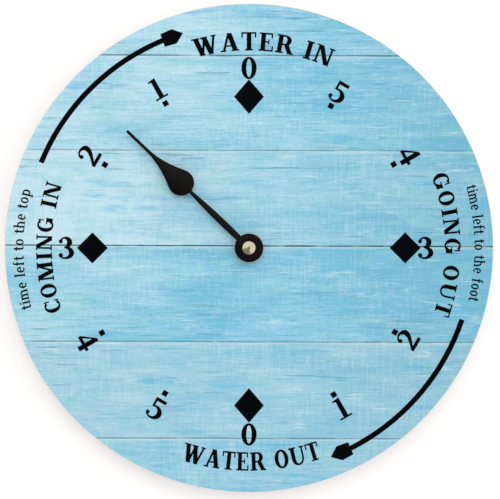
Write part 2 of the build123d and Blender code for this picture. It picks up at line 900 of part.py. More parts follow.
def hand_bush():
    """Collet pressed on the hour tube and riveted through the hand."""
    body = disc(hand_bush_radius, hand_bush_back, hand_back)
    body += disc(hand_bush_sleeve_radius, hand_back, hand_bush_front)
    return body - disc(hour_tube_radius, hand_bush_back, hand_bush_front)


def hour_wheel():
    """Wheel and tube that carry the hand."""
    body = wheel(centre_axis, hour_teeth, hour_module, hour_turn, hour_back, hour_front)
    body += disc(hour_tube_radius, hour_front, hour_tube_front)
    return body - disc(minute_arbor_radius + running_clearance, hour_back, hour_tube_front)


def minute_arbor():
    """Arbor through the hour tube, with the cannon pinion near its back end."""
    body = disc(clutch_radius, minute_arbor_back, plate_back - end_shake)
    body += disc(minute_arbor_radius, plate_back - end_shake, minute_arbor_front)
    body += toothed(centre_axis, cannon_teeth, motion_module, motion_heading, cannon_back, cannon_front)
    return body - pivot_hole(centre_axis, minute_arbor_back, minute_arbor_back + minute_arbor_bore)


def cap_nut():
    """Closed nut with a low cone, screwed on the end of the minute arbor."""
    skirt = disc(cap_nut_radius, cap_nut_back, cap_nut_back + cap_nut_skirt)
    cone_middle = cap_nut_back + cap_nut_skirt + cap_nut_cone / 2
    cone = Pos(0, -cone_middle, 0) * Rot(90, 0, 0) * Cone(cap_nut_radius, cap_nut_tip_radius, cap_nut_cone)
    return skirt + cone - disc(minute_arbor_radius, cap_nut_back, minute_arbor_front)


# Motion work and setting


def minute_wheel():
    """Wheel driven by the cannon pinion, with the pinion that drives the hour wheel."""
    body = wheel(motion_axis, minute_teeth, motion_module, minute_turn, minute_back, minute_front)
    pinion_front = hour_front + pinion_overlap
    pinion_turn = motion_heading + 180
    body += toothed(motion_axis, minute_pinion_teeth, hour_module, pinion_turn, minute_front, pinion_front)
    body += disc(stem_radius, pinion_front, boss_back - end_shake, motion_axis)
    body += disc(stem_radius, plate_front + end_shake, minute_back, motion_axis)
    return body + disc(pivot_radius, plate_back, cover_back, motion_axis)


def set_knob():
    """Knurled knob in the case's back, its stem, and the pinion that turns the minute wheel."""
    knob = disc(knob_radius, knob_setback, knob_front, setting_axis)
    middle = Pos(*setting_axis)
    for notch in PolarLocations(knob_radius, knob_notches):
        knob -= slab(middle * notch * Circle(knob_notch_radius), knob_setback, knob_front)
    body = knob + disc(stem_radius, knob_front, boss_back - end_shake, setting_axis)
    turn = meshed(minute_teeth, minute_turn, setting_teeth, setting_heading)
    pinion_back = minute_back - pinion_overlap
    pinion_front = minute_front + pinion_overlap
    body += toothed(setting_axis, setting_teeth, motion_module, turn, pinion_back, pinion_front)
    return body + disc(pivot_radius, boss_back - end_shake, cover_back, setting_axis)


# Going train


def centre_wheel():
    """Wheel that drives the minute arbor, and slips on it when the clock is set."""
    turn = meshed(third_pinion_teeth, third_heading + 180, centre_teeth, third_heading + 180)
    body = wheel(centre_axis, centre_teeth, centre_module, turn, centre_back, centre_front)
    body += disc(wheel_hub_radius, centre_front, plate_back - 2 * end_shake)
    return body - disc(clutch_radius + running_clearance, centre_back, plate_back - 2 * end_shake)


def third_wheel():
    turn = meshed(seconds_pinion_teeth, third_heading, third_teeth, third_heading)
    body = wheel(third_axis, third_teeth, train_module, turn, third_back, third_front) + arbor(third_axis)
    turn = third_heading + 180
    pinion_front = centre_front + pinion_overlap
    return body + toothed(third_axis, third_pinion_teeth, centre_module, turn, third_front, pinion_front)


def seconds_wheel():
    """Wheel behind the centre. Its front pivot runs in the end of the minute arbor."""
    turn = meshed(fifth_pinion_teeth, fifth_heading + 180, seconds_teeth, fifth_heading + 180)
    body = wheel(centre_axis, seconds_teeth, train_module, turn, seconds_back, seconds_front)
    turn = third_heading
    pinion_front = third_front + pinion_overlap
    body += toothed(centre_axis, seconds_pinion_teeth, train_module, turn, seconds_front, pinion_front)
    body += disc(arbor_radius, case_back_wall + end_shake, seconds_back)
    pivot_front = minute_arbor_back + minute_arbor_bore - end_shake
    return body + disc(pivot_radius, case_back_wall - pivot_depth, pivot_front)


def fifth_wheel():
    turn = meshed(rotor_teeth, rotor_heading + 180, fifth_teeth, rotor_heading + 180)
    body = wheel(fifth_axis, fifth_teeth, rotor_module, turn, fifth_back, fifth_front) + arbor(fifth_axis)
    turn = fifth_heading + 180
    pinion_front = seconds_front + pinion_overlap
    return body + toothed(fifth_axis, fifth_pinion_teeth, train_module, turn, fifth_front, pinion_front)


def rotor_pinion():
    turn = rotor_heading + 180
    pinion_back = fifth_back - pinion_overlap
    pinion_front = fifth_front + pinion_overlap
    pinion = toothed(rotor_axis, rotor_teeth, rotor_module, turn, pinion_back, pinion_front)
    return arbor(rotor_axis) + pinion


def rotor_magnet():
    ring = disc(magnet_radius, magnet_back, magnet_back + magnet_length, rotor_axis)
    return ring - disc(arbor_radius, magnet_back, magnet_back + magnet_length, rotor_axis)


def train_plate():
    """Plate that holds the front pivots and the minute arbor."""
    middle = Pos((plate_left + plate_right) / 2, (plate_bottom + plate_top) / 2)
    outline = middle * RectangleRounded(plate_right - plate_left, plate_top - plate_bottom, plate_corner)
    body = slab(outline, plate_back, plate_front)
    body -= disc(minute_arbor_radius + running_clearance, plate_back, plate_front)
    for place in (third_axis, fifth_axis, rotor_axis, motion_axis):
        body -= pivot_hole(place, plate_back, plate_front)
    for place in plate_posts:
        body -= disc(spigot_radius + moulding_clearance, plate_back, plate_front, place)
    return body


# Motor and electronics


def stator():
    """Soft iron yoke: a bar across the rotor and a leg up to each end of the coil's core."""
    half_arm = stator_arm_width / 2
    low = rotor_axis[1] - half_arm
    left = stator_ends[0][0]
    right = stator_ends[1][0]
    body = block(left - half_arm, right + half_arm, low, low + stator_arm_width, stator_back, stator_front)
    for place in stator_ends:
        body += block(place[0] - half_arm, place[0] + half_arm, low, coil_height, stator_back, stator_front)
        body += disc(half_arm, stator_back, stator_front, place)
    body += disc(stator_bore + stator_ring, stator_back, stator_front, rotor_axis)
    body -= disc(stator_bore, stator_back, stator_front, rotor_axis)
    for place in stator_ends:
        body -= disc(spigot_radius + moulding_clearance, stator_back, stator_front, place)
    return body


def along_coil(radius, length):
    """Cylinder on the coil's axis, centred above the rotor."""
    return Pos(rotor_axis[0], -coil_depth, coil_height) * Rot(0, 90, 0) * Cylinder(radius, length)


def coil_core():
    end = stator_leg_offset + core_overhang
    low = coil_height - core_width / 2
    body = block(rotor_axis[0] - end, rotor_axis[0] + end, low, low + core_width, stator_front, core_front)
    for place in stator_ends:
        body += disc(stator_arm_width / 2, stator_front, core_front, place)
    for place in stator_ends:
        body -= disc(spigot_radius + moulding_clearance, stator_front, core_front, place)
    return body


def coil_bobbin():
    """Tube with a flange at each end, and a square way through for the core."""
    body = along_coil(bobbin_radius, coil_length)
    for side in (-1, 1):
        offset = side * (coil_length + coil_flange) / 2
        body += Pos(offset, 0, 0) * along_coil(coil_flange_radius, coil_flange)
    half = coil_length / 2 + coil_flange
    low = coil_height - core_width / 2
    way = block(rotor_axis[0] - half, rotor_axis[0] + half, low, low + core_width, stator_front, core_front)
    return body - way


def coil_winding():
    return along_coil(coil_radius, coil_length) - along_coil(bobbin_radius, coil_length)


def circuit_board():
    body = block(circuit_left, circuit_right, circuit_bottom, circuit_top, circuit_back, circuit_front)
    body &= slab(chamber_outline(circuit_edge_gap), circuit_back, circuit_front)
    for place in circuit_posts:
        body -= disc(spigot_radius + moulding_clearance, circuit_back, circuit_front, place)
    return body


def driver_chip():
    """Round cover over the chip that drives the motor."""
    place = (circuit_centre + chip_offset, circuit_middle)
    body = disc(chip_radius, circuit_front, circuit_front + chip_height, place)
    return fillet(body.edges().group_by(Axis.Y)[0], chip_height / 2)


def crystal_can():
    """Quartz crystal in its can, lying on the board."""
    place = Pos(circuit_centre + crystal_offset, -circuit_front - crystal_radius, circuit_middle)
    return place * Rot(0, 90, 0) * Cylinder(crystal_radius, crystal_length)


def contact(side):
    """Plate against one end wall of the bay, with a strip up the case's side wall."""
    wall = side * inner_half_width
    face = wall - side * contact_thickness
    low = cell_height - contact_height / 2
    top = low + contact_height
    half_plate = contact_width / 2
    half_strip = contact_strip_width / 2
    plate = block(wall, face, low, top, cell_depth - half_plate, cell_depth + half_plate)
    return plate, top, (wall, face, strip_depth - half_strip, strip_depth + half_strip)


def battery_contact_positive():
    """Plate, strip up the right wall, run along the top wall and a tab on the circuit board."""
    plate, top, (wall, face, strip_back, strip_front) = contact(1)
    run_left = circuit_right - solder_tab_length
    ring = slab(chamber_outline(0) - chamber_outline(contact_thickness), strip_back, strip_front)
    corner = ring & block(run_left, wall, 0, inner_top, strip_back, strip_front)
    tab_low = circuit_top - solder_tab_length
    tab_front = circuit_front + solder_tab_thickness
    tab = block(run_left, circuit_right, tab_low, inner_top, circuit_front, tab_front)
    return plate + block(wall, face, top, inner_top / 2, strip_back, strip_front) + corner + tab


def battery_contact_negative():
    """Plate with a sprung dome, strip up the left wall and a tab on the circuit board."""
    plate, top, (wall, face, strip_back, strip_front) = contact(-1)
    body = plate + block(wall, face, top, circuit_middle, strip_back, strip_front)
    tab_end = circuit_left + solder_tab_length
    tab_low = circuit_middle - contact_strip_width
    tab_front = circuit_front + solder_tab_thickness
    body += block(wall, tab_end, tab_low, circuit_middle, circuit_front, tab_front)
    dome_end = cell_back_end - contact_clearance
    dome_length = dome_end - face
    base = contact_dome_share * contact_width / 2
    middle = Pos(face + dome_length / 2, -cell_depth, cell_height)
    return body + middle * Rot(0, 90, 0) * Cone(base, contact_dome_share * base, dome_length)


def battery():
    """AA cell lying across the case, its raised end towards +X."""
    can = Rot(0, 90, 0) * Cylinder(cell_radius, cell_length)
    can = fillet(can.edges().filter_by(GeomType.CIRCLE), cell_edge_round)
    nub_offset = (cell_length + cell_nub_length) / 2
    nub = Pos(nub_offset, 0, 0) * Rot(0, 90, 0) * Cylinder(cell_nub_diameter / 2, cell_nub_length)
    return Pos(cell_back_end + cell_length / 2, -cell_depth, cell_height) * (can + nub)


nodes = (
    dial_board,
    printed_face,
    dial_numerals,
    dial_diamonds,
    dial_squares,
    tide_arrows,
    movement_case,
    hanging_tab,
    front_cover,
    threaded_bush,
    rubber_washer,
    brass_washer,
    hex_nut,
    tide_hand,
    hand_bush,
    hour_wheel,
    minute_arbor,
    cap_nut,
    minute_wheel,
    set_knob,
    centre_wheel,
    third_wheel,
    seconds_wheel,
    fifth_wheel,
    rotor_pinion,
    rotor_magnet,
    train_plate,
    stator,
    coil_core,
    coil_bobbin,
    coil_winding,
    circuit_board,
    driver_chip,
    crystal_can,
    battery_contact_positive,
    battery_contact_negative,
    battery,
)

os.makedirs("parts", exist_ok=True)
for node in nodes:
    export_step(node(), f"parts/{node.__name__}.step")
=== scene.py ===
import logging
import math
from collections.abc import Callable, Iterable
from dataclasses import dataclass, field
from enum import Enum

import bpy
from mathutils import Matrix, Vector


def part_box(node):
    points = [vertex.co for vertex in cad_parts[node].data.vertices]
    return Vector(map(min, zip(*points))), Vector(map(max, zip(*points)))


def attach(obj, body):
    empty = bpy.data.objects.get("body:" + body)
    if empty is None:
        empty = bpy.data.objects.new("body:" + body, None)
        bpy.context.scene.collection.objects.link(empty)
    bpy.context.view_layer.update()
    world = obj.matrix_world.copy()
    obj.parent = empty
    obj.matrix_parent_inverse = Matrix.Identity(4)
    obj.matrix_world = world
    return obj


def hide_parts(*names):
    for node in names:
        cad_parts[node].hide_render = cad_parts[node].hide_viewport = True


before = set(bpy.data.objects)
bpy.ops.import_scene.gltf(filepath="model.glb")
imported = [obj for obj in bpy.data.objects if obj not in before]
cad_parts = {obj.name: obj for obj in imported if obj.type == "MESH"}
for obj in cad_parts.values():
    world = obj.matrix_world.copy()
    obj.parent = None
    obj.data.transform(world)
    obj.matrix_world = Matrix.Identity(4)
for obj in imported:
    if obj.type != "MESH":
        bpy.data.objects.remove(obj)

# The looks of a round wall tide clock. Everything is in metres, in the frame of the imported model: +X to
# the viewer's right, +Z up, and -Y towards the viewer, with the origin on the hand's axis in the plane of
# the wall.

log = logging.getLogger("tide_clock")

Colour = tuple[float, float, float, float]
Material = bpy.types.Material
Object = bpy.types.Object
Socket = bpy.types.NodeSocket

MM = 0.001
CURVE_POINTS = 40
LETTER_HEIGHT = 10 * MM
# Points closer than this lie on one face or rim, and points closer than the second are one point
NEAR = 0.01 * MM
SAME = 0.002 * MM
# Faces that meet within this many degrees are one flat face
FLAT = 0.5
# How far the middle of a round lies inside its corner, as a share of its width
MID_ROUND = 0.3
ROOT = "dial_and_movement"


class Along(Enum):
    """Which way a line of letters runs round the dial."""

    OVER = "clockwise, tops outwards"
    UNDER = "anticlockwise, tops inwards"


def rgb(red: int, green: int, blue: int) -> Colour:
    """Linear colour of a screen colour.

    Args:
        red: Red, from 0 to 255.
        green: Green, from 0 to 255.
        blue: Blue, from 0 to 255.

    Returns:
        The colour as Blender's sockets take it, opaque.
    """
    linear = []
    for part in (red, green, blue):
        share = part / 255
        linear.append(share / 12.92 if share <= 0.04045 else ((share + 0.055) / 1.055) ** 2.4)
    return (linear[0], linear[1], linear[2], 1.0)


def depth_range(node: str) -> tuple[float, float]:
    """Depths of a CAD node's back and front from the wall.

    Args:
        node: The CAD node's name.

    Returns:
        Its back and its front depth, in metres.
    """
    low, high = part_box(node)
    return -high.y, -low.y


# Operators


def only(*objects: Object) -> None:
    """Select these objects alone and make the first one active.

    Args:
        objects: The objects.
    """
    bpy.ops.object.select_all(action="DESELECT")
    for obj in objects:
        obj.select_set(True)
    bpy.context.view_layer.objects.active = objects[0]


def edit(obj: Object, kind: str = "VERT") -> None:
    """Open an object in edit mode with nothing selected.

    Args:
        obj: The mesh object.
        kind: VERT, EDGE or FACE.
    """
    only(obj)
    bpy.ops.object.mode_set(mode="EDIT")
    bpy.ops.mesh.select_mode(type=kind)
    bpy.ops.mesh.select_all(action="DESELECT")


def leave_edit() -> None:
    """Go back to object mode."""
    bpy.ops.object.mode_set(mode="OBJECT")


def select_where(obj: Object, kind: str, test: Callable[[list[Vector]], bool]) -> None:
    """Select the parts of a mesh that pass a test, and leave the object in edit mode for that kind.

    Args:
        obj: The mesh object, in edit mode.
        kind: VERT, EDGE or FACE.
        test: Says whether a part is taken, by the places of its points.
    """
    bpy.ops.mesh.select_mode(type=kind)
    bpy.ops.mesh.select_all(action="DESELECT")
    leave_edit()
    mesh = obj.data
    parts = {"VERT": mesh.vertices, "EDGE": mesh.edges, "FACE": mesh.polygons}[kind]
    for part in parts:
        numbers = [part.index] if kind == "VERT" else part.vertices
        part.select = test([mesh.vertices[number].co for number in numbers])
    bpy.ops.object.mode_set(mode="EDIT")


def settle(obj: Object) -> Object:
    """Put an object's place, turn and scale into its mesh.

    Args:
        obj: The object.

    Returns:
        The same object, at the origin.
    """
    only(obj)
    bpy.ops.object.transform_apply(location=True, rotation=True, scale=True)
    return obj


def apply_modifiers(obj: Object) -> None:
    """Apply all the modifiers of an object in order.

    Args:
        obj: The mesh object.
    """
    only(obj)
    for modifier in list(obj.modifiers):
        bpy.ops.object.modifier_apply(modifier=modifier.name)


def smooth(obj: Object, degrees: float = 35) -> None:
    """Shade an object smooth, except over edges sharper than an angle."""
    only(obj)
    bpy.ops.object.shade_smooth_by_angle(angle=math.radians(degrees))


def joined(objects: list[Object], name: str) -> Object:
    """Join objects to one.

    Args:
        objects: The mesh objects.
        name: The name of the result.

    Returns:
        The joined object.
    """
    only(*objects)
    bpy.ops.object.join()
    whole = bpy.context.view_layer.objects.active
    whole.name = name
    whole.data.name = name
    return whole


def bevelled(obj: Object, width: float, segments: int = 2, angle: float = 40) -> Object:
    """Round an object's sharp edges.

    Args:
        obj: The mesh object.
        width: Width of the round, in metres.
        segments: Steps in the round.
        angle: Edges sharper than this are rounded, in degrees.

    Returns:
        The same object.
    """
    modifier = obj.modifiers.new("edges", "BEVEL")
    modifier.width = width
    modifier.segments = segments
    modifier.limit_method = "ANGLE"
    modifier.angle_limit = math.radians(angle)
    apply_modifiers(obj)
    return obj


def edges_rounded(obj: Object, width: float, test: Callable[[list[Vector]], bool]) -> None:
    """Round the edges that pass a test, in three steps.

    Args:
        obj: The mesh object.
        width: Width of the round, in metres.
        test: Says whether an edge is taken, by the places of its ends.
    """
    edit(obj, "EDGE")
    select_where(obj, "EDGE", test)
    bpy.ops.mesh.bevel(offset=width, segments=3, affect="EDGES")
    leave_edit()


def merged_copy(node: str, name: str) -> Object:
    """Copy of a CAD node with its loose triangles merged to clean faces.

    Args:
        node: The CAD node's name.
        name: The copy's name.

    Returns:
        The copy, which isn't shown in place of the node until it replaces it.
    """
    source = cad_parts[node]
    copy = source.copy()
    copy.data = source.data.copy()
    copy.name = name
    copy.data.name = name
    copy.parent = None
    for key in list(copy.keys()):
        del copy[key]
    bpy.context.scene.collection.objects.link(copy)
    edit(copy)
    bpy.ops.mesh.select_all(action="SELECT")
    bpy.ops.mesh.remove_doubles(threshold=SAME)
    bpy.ops.mesh.dissolve_limited(angle_limit=math.radians(FLAT))
    leave_edit()
    return copy


def turned(
    name: str, start: float, stations: list[tuple[float, float]], points: int = 96
) -> Object:
    """Solid of revolution about the Y axis, drawn out from the wall towards the viewer.

    Args:
        name: The object's name.
        start: Radius of its back face, which lies at depth zero.
        stations: Radius and depth of each step from there to its front face.
        points: Points round it.

    Returns:
        The object.
    """
    bpy.ops.object.select_all(action="DESELECT")
    bpy.ops.mesh.primitive_circle_add(
        vertices=points, radius=start, fill_type="NGON", location=(0, 0, 0), rotation=(math.pi / 2, 0, 0)
    )
    solid = settle(bpy.context.view_layer.objects.active)
    solid.name = name
    solid.data.name = name
    edit(solid, "FACE")
    bpy.ops.mesh.select_all(action="SELECT")
    radius, depth = start, 0.0
    for wide, deep in stations:
        bpy.ops.mesh.extrude_region_move(TRANSFORM_OT_translate={"value": (0, depth - deep, 0)})
        bpy.ops.transform.resize(value=(wide / radius, 1, wide / radius), center_override=(0, -deep, 0))
        radius, depth = wide, deep
    bpy.ops.mesh.select_all(action="SELECT")
    bpy.ops.mesh.normals_make_consistent(inside=False)
    leave_edit()
    return solid


# Finishes


class Shader:
    """A node material under construction, with short calls for the nodes that the finishes use."""

    def __init__(self, name: str) -> None:
        """Start a material that holds one principled shader.

        Args:
            name: The material's name.
        """
        self.material = bpy.data.materials.new(name)
        self.material.use_nodes = True
        self.tree = self.material.node_tree
        self.surface = self.tree.nodes["Principled BSDF"]
        self.output = self.tree.nodes["Material Output"]
        self.bump_chain: Socket | None = None

    def node(self, kind: str, **settings: object) -> bpy.types.Node:
        """Add a node.

        Args:
            kind: Its type.
            settings: Its properties.

        Returns:
            The node.
        """
        made = self.tree.nodes.new(kind)
        for key, value in settings.items():
            setattr(made, key, value)
        return made

    def feed(self, socket: Socket, value: object) -> None:
        """Link a socket's output to an input, or set the input to a plain value.

        Args:
            socket: The input.
            value: The output or the value.
        """
        if isinstance(value, Socket):
            self.tree.links.new(value, socket)
        else:
            socket.default_value = value

    def fed(self, made: bpy.types.Node, values: Iterable[object], output: int | str = 0) -> Socket:
        """Feed a node's inputs in order.

        Args:
            made: The node.
            values: What its first inputs get.
            output: Which output is asked for.

        Returns:
            That output.
        """
        for socket, value in zip(made.inputs, values):
            self.feed(socket, value)
        return made.outputs[output]

    def place(self) -> Socket:
        """Place on the object, in metres."""
        return self.node("ShaderNodeTexCoord").outputs["Object"]

    def parts(self, vector: Socket) -> tuple[Socket, ...]:
        """Split a vector.

        Args:
            vector: The vector.

        Returns:
            Its X, Y and Z.
        """
        split = self.node("ShaderNodeSeparateXYZ")
        self.feed(split.inputs[0], vector)
        return tuple(split.outputs)

    def vector(self, x: object, y: object, z: object) -> Socket:
        """Vector of three values."""
        return self.fed(self.node("ShaderNodeCombineXYZ"), (x, y, z))

    def math(self, operation: str, *values: object) -> Socket:
        """Result of a math node on up to three values."""
        made = self.node("ShaderNodeMath", operation=operation)
        return self.fed(made, (*values, 0.0, 0.0)[:3])

    def times(self, first: object, second: object, *plus: object) -> Socket:
        """Product of two values, plus a third where it is given."""
        return self.math("MULTIPLY_ADD" if plus else "MULTIPLY", first, second, *plus)

    def clamp(self, value: object) -> Socket:
        """A value held between 0 and 1."""
        return self.fed(self.node("ShaderNodeClamp"), (value,))

    def step(self, value: object, low: float, high: float) -> Socket:
        """Smooth rise from 0 to 1, or a fall where the first limit is the larger.

        Args:
            value: What it depends on.
            low: Value at which it is 0.
            high: Value at which it is 1.

        Returns:
            The rise.
        """
        made = self.node("ShaderNodeMapRange", interpolation_type="SMOOTHSTEP")
        ends = (0.0, 1.0) if low < high else (1.0, 0.0)
        return self.fed(made, (value, min(low, high), max(low, high), *ends))

    def noise(self, vector: object, scale: float, detail: float = 3, rough: float = 0.55) -> Socket:
        """Cloudy noise about 0.5.

        Args:
            vector: Where it is read.
            scale: Its fineness.
            detail: Its number of finer layers.
            rough: Their strength.

        Returns:
            The noise.
        """
        made = self.node("ShaderNodeTexNoise")
        for key, value in (("Vector", vector), ("Scale", scale), ("Detail", detail), ("Roughness", rough)):
            self.feed(made.inputs[key], value)
        return made.outputs["Fac"]

    def cells(self, vector: object, scale: float) -> Socket:
        """Distance to the nearest of scattered points.

        Args:
            vector: Where it is read.
            scale: Their closeness.

        Returns:
            The distance.
        """
        made = self.node("ShaderNodeTexVoronoi")
        self.feed(made.inputs["Vector"], vector)
        self.feed(made.inputs["Scale"], scale)
        return made.outputs["Distance"]

    def mix(self, share: object, first: object, second: object) -> Socket:
        """Colour between two colours.

        Args:
            share: Share of the second.
            first: The one.
            second: The other.

        Returns:
            The colour.
        """
        made = self.node("ShaderNodeMix", data_type="RGBA")
        for number, value in ((0, share), (6, first), (7, second)):
            self.feed(made.inputs[number], value)
        return made.outputs[2]

    def levels(self, value: object, stops: tuple[float, ...]) -> Socket:
        """Stepped levels, spaced evenly over 0 to 1.

        Args:
            value: Where they are read.
            stops: The levels.

        Returns:
            The level there.
        """
        made = self.node("ShaderNodeValToRGB")
        ramp = made.color_ramp
        ramp.interpolation = "CONSTANT"
        ramp.elements.remove(ramp.elements[1])
        for number, level in enumerate(stops):
            stop = ramp.elements[0] if number == 0 else ramp.elements.new(number / len(stops))
            stop.color = (level, level, level, 1)
        self.feed(made.inputs[0], value)
        return made.outputs[0]

    def bump(self, height: object, distance: float, strength: object = 1.0) -> None:
        """Add a height to the surface, on top of the bumps so far.

        Args:
            height: The height, as a share of the distance.
            distance: The distance, in metres.
            strength: Its strength.
        """
        made = self.node("ShaderNodeBump")
        for key, value in (("Strength", strength), ("Distance", distance), ("Height", height)):
            self.feed(made.inputs[key], value)
        if self.bump_chain:
            self.feed(made.inputs["Normal"], self.bump_chain)
        self.bump_chain = made.outputs[0]

    def done(self, colour: object, roughness: object, metallic: float = 0.0, **sockets: object) -> Material:
        """Link the surface's colour and roughness, and finish the material.

        Args:
            colour: Base colour.
            roughness: Roughness.
            metallic: Metallic share.
            sockets: Other inputs of the principled shader, with spaces in their names as underscores.

        Returns:
            The material.
        """
        sockets = {"Base_Color": colour, "Roughness": roughness, "Metallic": metallic, **sockets}
        for key, value in sockets.items():
            self.feed(self.surface.inputs[key.replace("_", " ")], value)
        if self.bump_chain:
            self.feed(self.surface.inputs["Normal"], self.bump_chain)
        return self.material


@dataclass(frozen=True)
class Streak:
    """Noise drawn out along the planks, and the paint that lies where it is high.

    Its length and height are in mm. The paint begins where the noise reaches low, and has its full share from
    full on.
    """

    long: float
    high: float
    seed: float
    detail: float = 3
    rough: float = 0.55
    low: float = 0.0
    full: float = 1.0
    share: float = 1.0


@dataclass(frozen=True)
class PlankPrint:
    """Matt print of pale blue painted planks, laid level across the dial. Its measures are in mm."""

    pitch: float = 52.17
    first_seam: float = 1.15
    tilt: float = 0.0035
    narrowing: float = 0.0028
    seam_half: float = 0.52
    seam_wave: float = 0.55
    seam_edge: float = 0.34
    plank_shift: float = 7.31
    levels: tuple[float, ...] = (0.74, 0.64, 0.75, 0.49, 0.60, 0.56)
    fades: tuple[float, ...] = (0.08, 0.10, 0.27, 0.46, 0.30, 0.33)
    greys: tuple[float, ...] = (0.20, 0.30, 0.05, 0.15, 0.06, 0.05)
    seams: tuple[float, ...] = (0.0, 0.62, 0.55, 1.0, 0.50, 0.80)
    light: Colour = rgb(201, 233, 243)
    deep: Colour = rgb(106, 188, 219)
    grey: Colour = rgb(172, 203, 217)
    wash: Colour = rgb(214, 236, 242)
    pool: Colour = rgb(96, 184, 222)
    vein: Colour = rgb(96, 158, 182)
    teal: Colour = rgb(140, 210, 212)
    dusk: Colour = rgb(124, 150, 158)
    seam: Colour = rgb(40, 74, 80)
    ochre: Colour = rgb(150, 160, 122)
    brush: Streak = Streak(30, 3.1, 4.2, 4, 0.62, 0.35, 0.62)
    brush_share: float = 0.75
    tones: tuple[Streak, ...] = (
        Streak(70, 19, 1.7, 2, share=1.25),
        Streak(24, 0.8, 9.4, 4, 0.75, share=1.15),
        Streak(10, 0.9, 14.9, 4, 0.7, share=0.7),
        Streak(1.9, 1.5, 63.4, 3, 0.75, share=0.75),
    )
    green: Streak = Streak(21, 7.5, 52.6, 4, 0.75, 0.48, 0.66, 0.46)
    dry: Streak = Streak(24, 4.4, 12.9, 4, 0.7, 0.54, 0.72, 0.62)
    pools: Streak = Streak(34, 6.5, 21.3, 3, 0.6, 0.57, 0.74, 0.55)
    lines: Streak = Streak(30, 1.1, 31.8, 4, 0.6, 0.60, 0.66)
    lined: Streak = Streak(52, 15, 37.4, 1, 0.55, 0.36, 0.60, 0.75)
    strands: Streak = Streak(22, 1.0, 71.2, 4, 0.6, 0.62, 0.68, 0.5)
    ribbed: Streak = Streak(42, 24, 45.1, 1, 0.55, 0.40, 0.62)
    specular: float = 0.12

    def material(self) -> Material:
        """Build the print's material.

        Returns:
            The material, on object coordinates.
        """
        s = Shader("plank_print")
        in_mm = s.node("ShaderNodeVectorMath", operation="SCALE")
        s.feed(in_mm.inputs[0], s.place())
        in_mm.inputs["Scale"].default_value = 1 / MM
        x, _, z = s.parts(in_mm.outputs[0])
        level = s.times(x, self.tilt, z)
        row = s.math("DIVIDE", s.math("SUBTRACT", level, self.first_seam), self.pitch)
        row = s.times(s.times(row, row), self.narrowing, row)
        plank = s.math("FLOOR", row)
        count = len(self.levels)

        def choice(number: Socket) -> Socket:
            """Place of a plank or a seam in the tables, from 0 to 1."""
            return s.math("DIVIDE", s.math("ADD", number, count / 2 + 0.5), count)

        def stretched(long: float, middle: object, high: float) -> Socket:
            """Place on the print, drawn out to a length and a height in mm."""
            return s.vector(s.math("DIVIDE", x, long), middle, s.math("DIVIDE", z, high))

        def streaks(streak: Streak) -> Socket:
            """Noise drawn out along the planks, different on each plank."""
            moved = s.math("ADD", s.times(plank, self.plank_shift), streak.seed)
            return s.noise(stretched(streak.long, moved, streak.high), 1, streak.detail, streak.rough)

        def cover(streak: Streak) -> Socket:
            """Share of a streak's paint."""
            return s.times(s.step(streaks(streak), streak.low, streak.full), streak.share)

        # Depth of the blue: by plank, across the dial, and in brushed streaks
        brush = streaks(self.brush)
        fade = s.times(s.levels(choice(plank), self.fades), s.math("DIVIDE", x, 100))
        depth = s.math("ADD", s.levels(choice(plank), self.levels), fade)
        depth = s.times(s.math("SUBTRACT", brush, 0.5), self.brush_share, depth)
        for tone in self.tones:
            depth = s.times(s.math("SUBTRACT", streaks(tone), 0.5), tone.share, depth)
        colour = s.mix(s.clamp(depth), self.light, self.deep)
        colour = s.mix(s.levels(choice(plank), self.greys), colour, self.grey)
        colour = s.mix(cover(self.green), colour, self.teal)
        colour = s.mix(s.times(s.step(x, 10, 120), 0.17), colour, self.dusk)

        # Thin white wash left by a dry brush, and pools of deeper blue
        brushed = s.step(brush, self.brush.low, self.brush.full)
        colour = s.mix(s.times(cover(self.dry), brushed), colour, self.wash)
        colour = s.mix(cover(self.pools), colour, self.pool)

        # Grain: thin darker lines in some places, pale ones, and faint upright brush marks in others
        colour = s.mix(s.times(cover(self.lines), cover(self.lined)), colour, self.vein)
        colour = s.mix(cover(self.strands), colour, self.wash)
        upright = s.noise(stretched(1.3, plank, 17), 1, 3, 0.6)
        ribs = s.times(s.math("SUBTRACT", upright, 0.5), s.times(cover(self.ribbed), 0.95, 0.2))
        colour = s.mix(s.clamp(ribs), colour, self.deep)
        colour = s.mix(s.clamp(s.times(ribs, -1)), colour, self.wash)

        # Seams, a dark line that wavers and fades, with a pale edge under it
        waver = s.noise(s.vector(s.math("DIVIDE", x, 38), plank, 3.3), 1, 3, 0.6)
        shifted = s.times(s.math("SUBTRACT", waver, 0.5), self.seam_wave / self.pitch, row)
        seam = s.math("ROUND", shifted)
        below = s.times(s.math("SUBTRACT", shifted, seam), self.pitch)
        edge = s.times(s.step(below, -2.2, -0.5), s.step(below, 0.0, -0.3))
        colour = s.mix(s.times(edge, self.seam_edge), colour, self.wash)
        line = s.step(s.math("ABSOLUTE", below), self.seam_half, self.seam_half * 0.35)
        fading = s.noise(s.vector(s.math("DIVIDE", x, 22), seam, 8.1), 1, 3, 0.6)
        tint = s.mix(s.step(fading, 0.50, 0.66), self.seam, self.ochre)
        strength = s.times(s.levels(choice(seam), self.seams), s.step(fading, 1.0, 0.42))
        colour = s.mix(s.times(line, strength), colour, tint)

        # Specks, and a surface with the faintest tooth
        speck = s.step(s.cells(s.vector(x, 0.0, z), 0.23), 0.055, 0.03)
        colour = s.mix(s.times(speck, 0.35), colour, self.vein)
        s.bump(brush, 0.02 * MM, 0.35)
        s.bump(s.noise(s.place(), 1400, 2), 0.012 * MM, 0.5)
        return s.done(colour, s.times(brush, 0.16, 0.42), Specular_IOR_Level=self.specular)


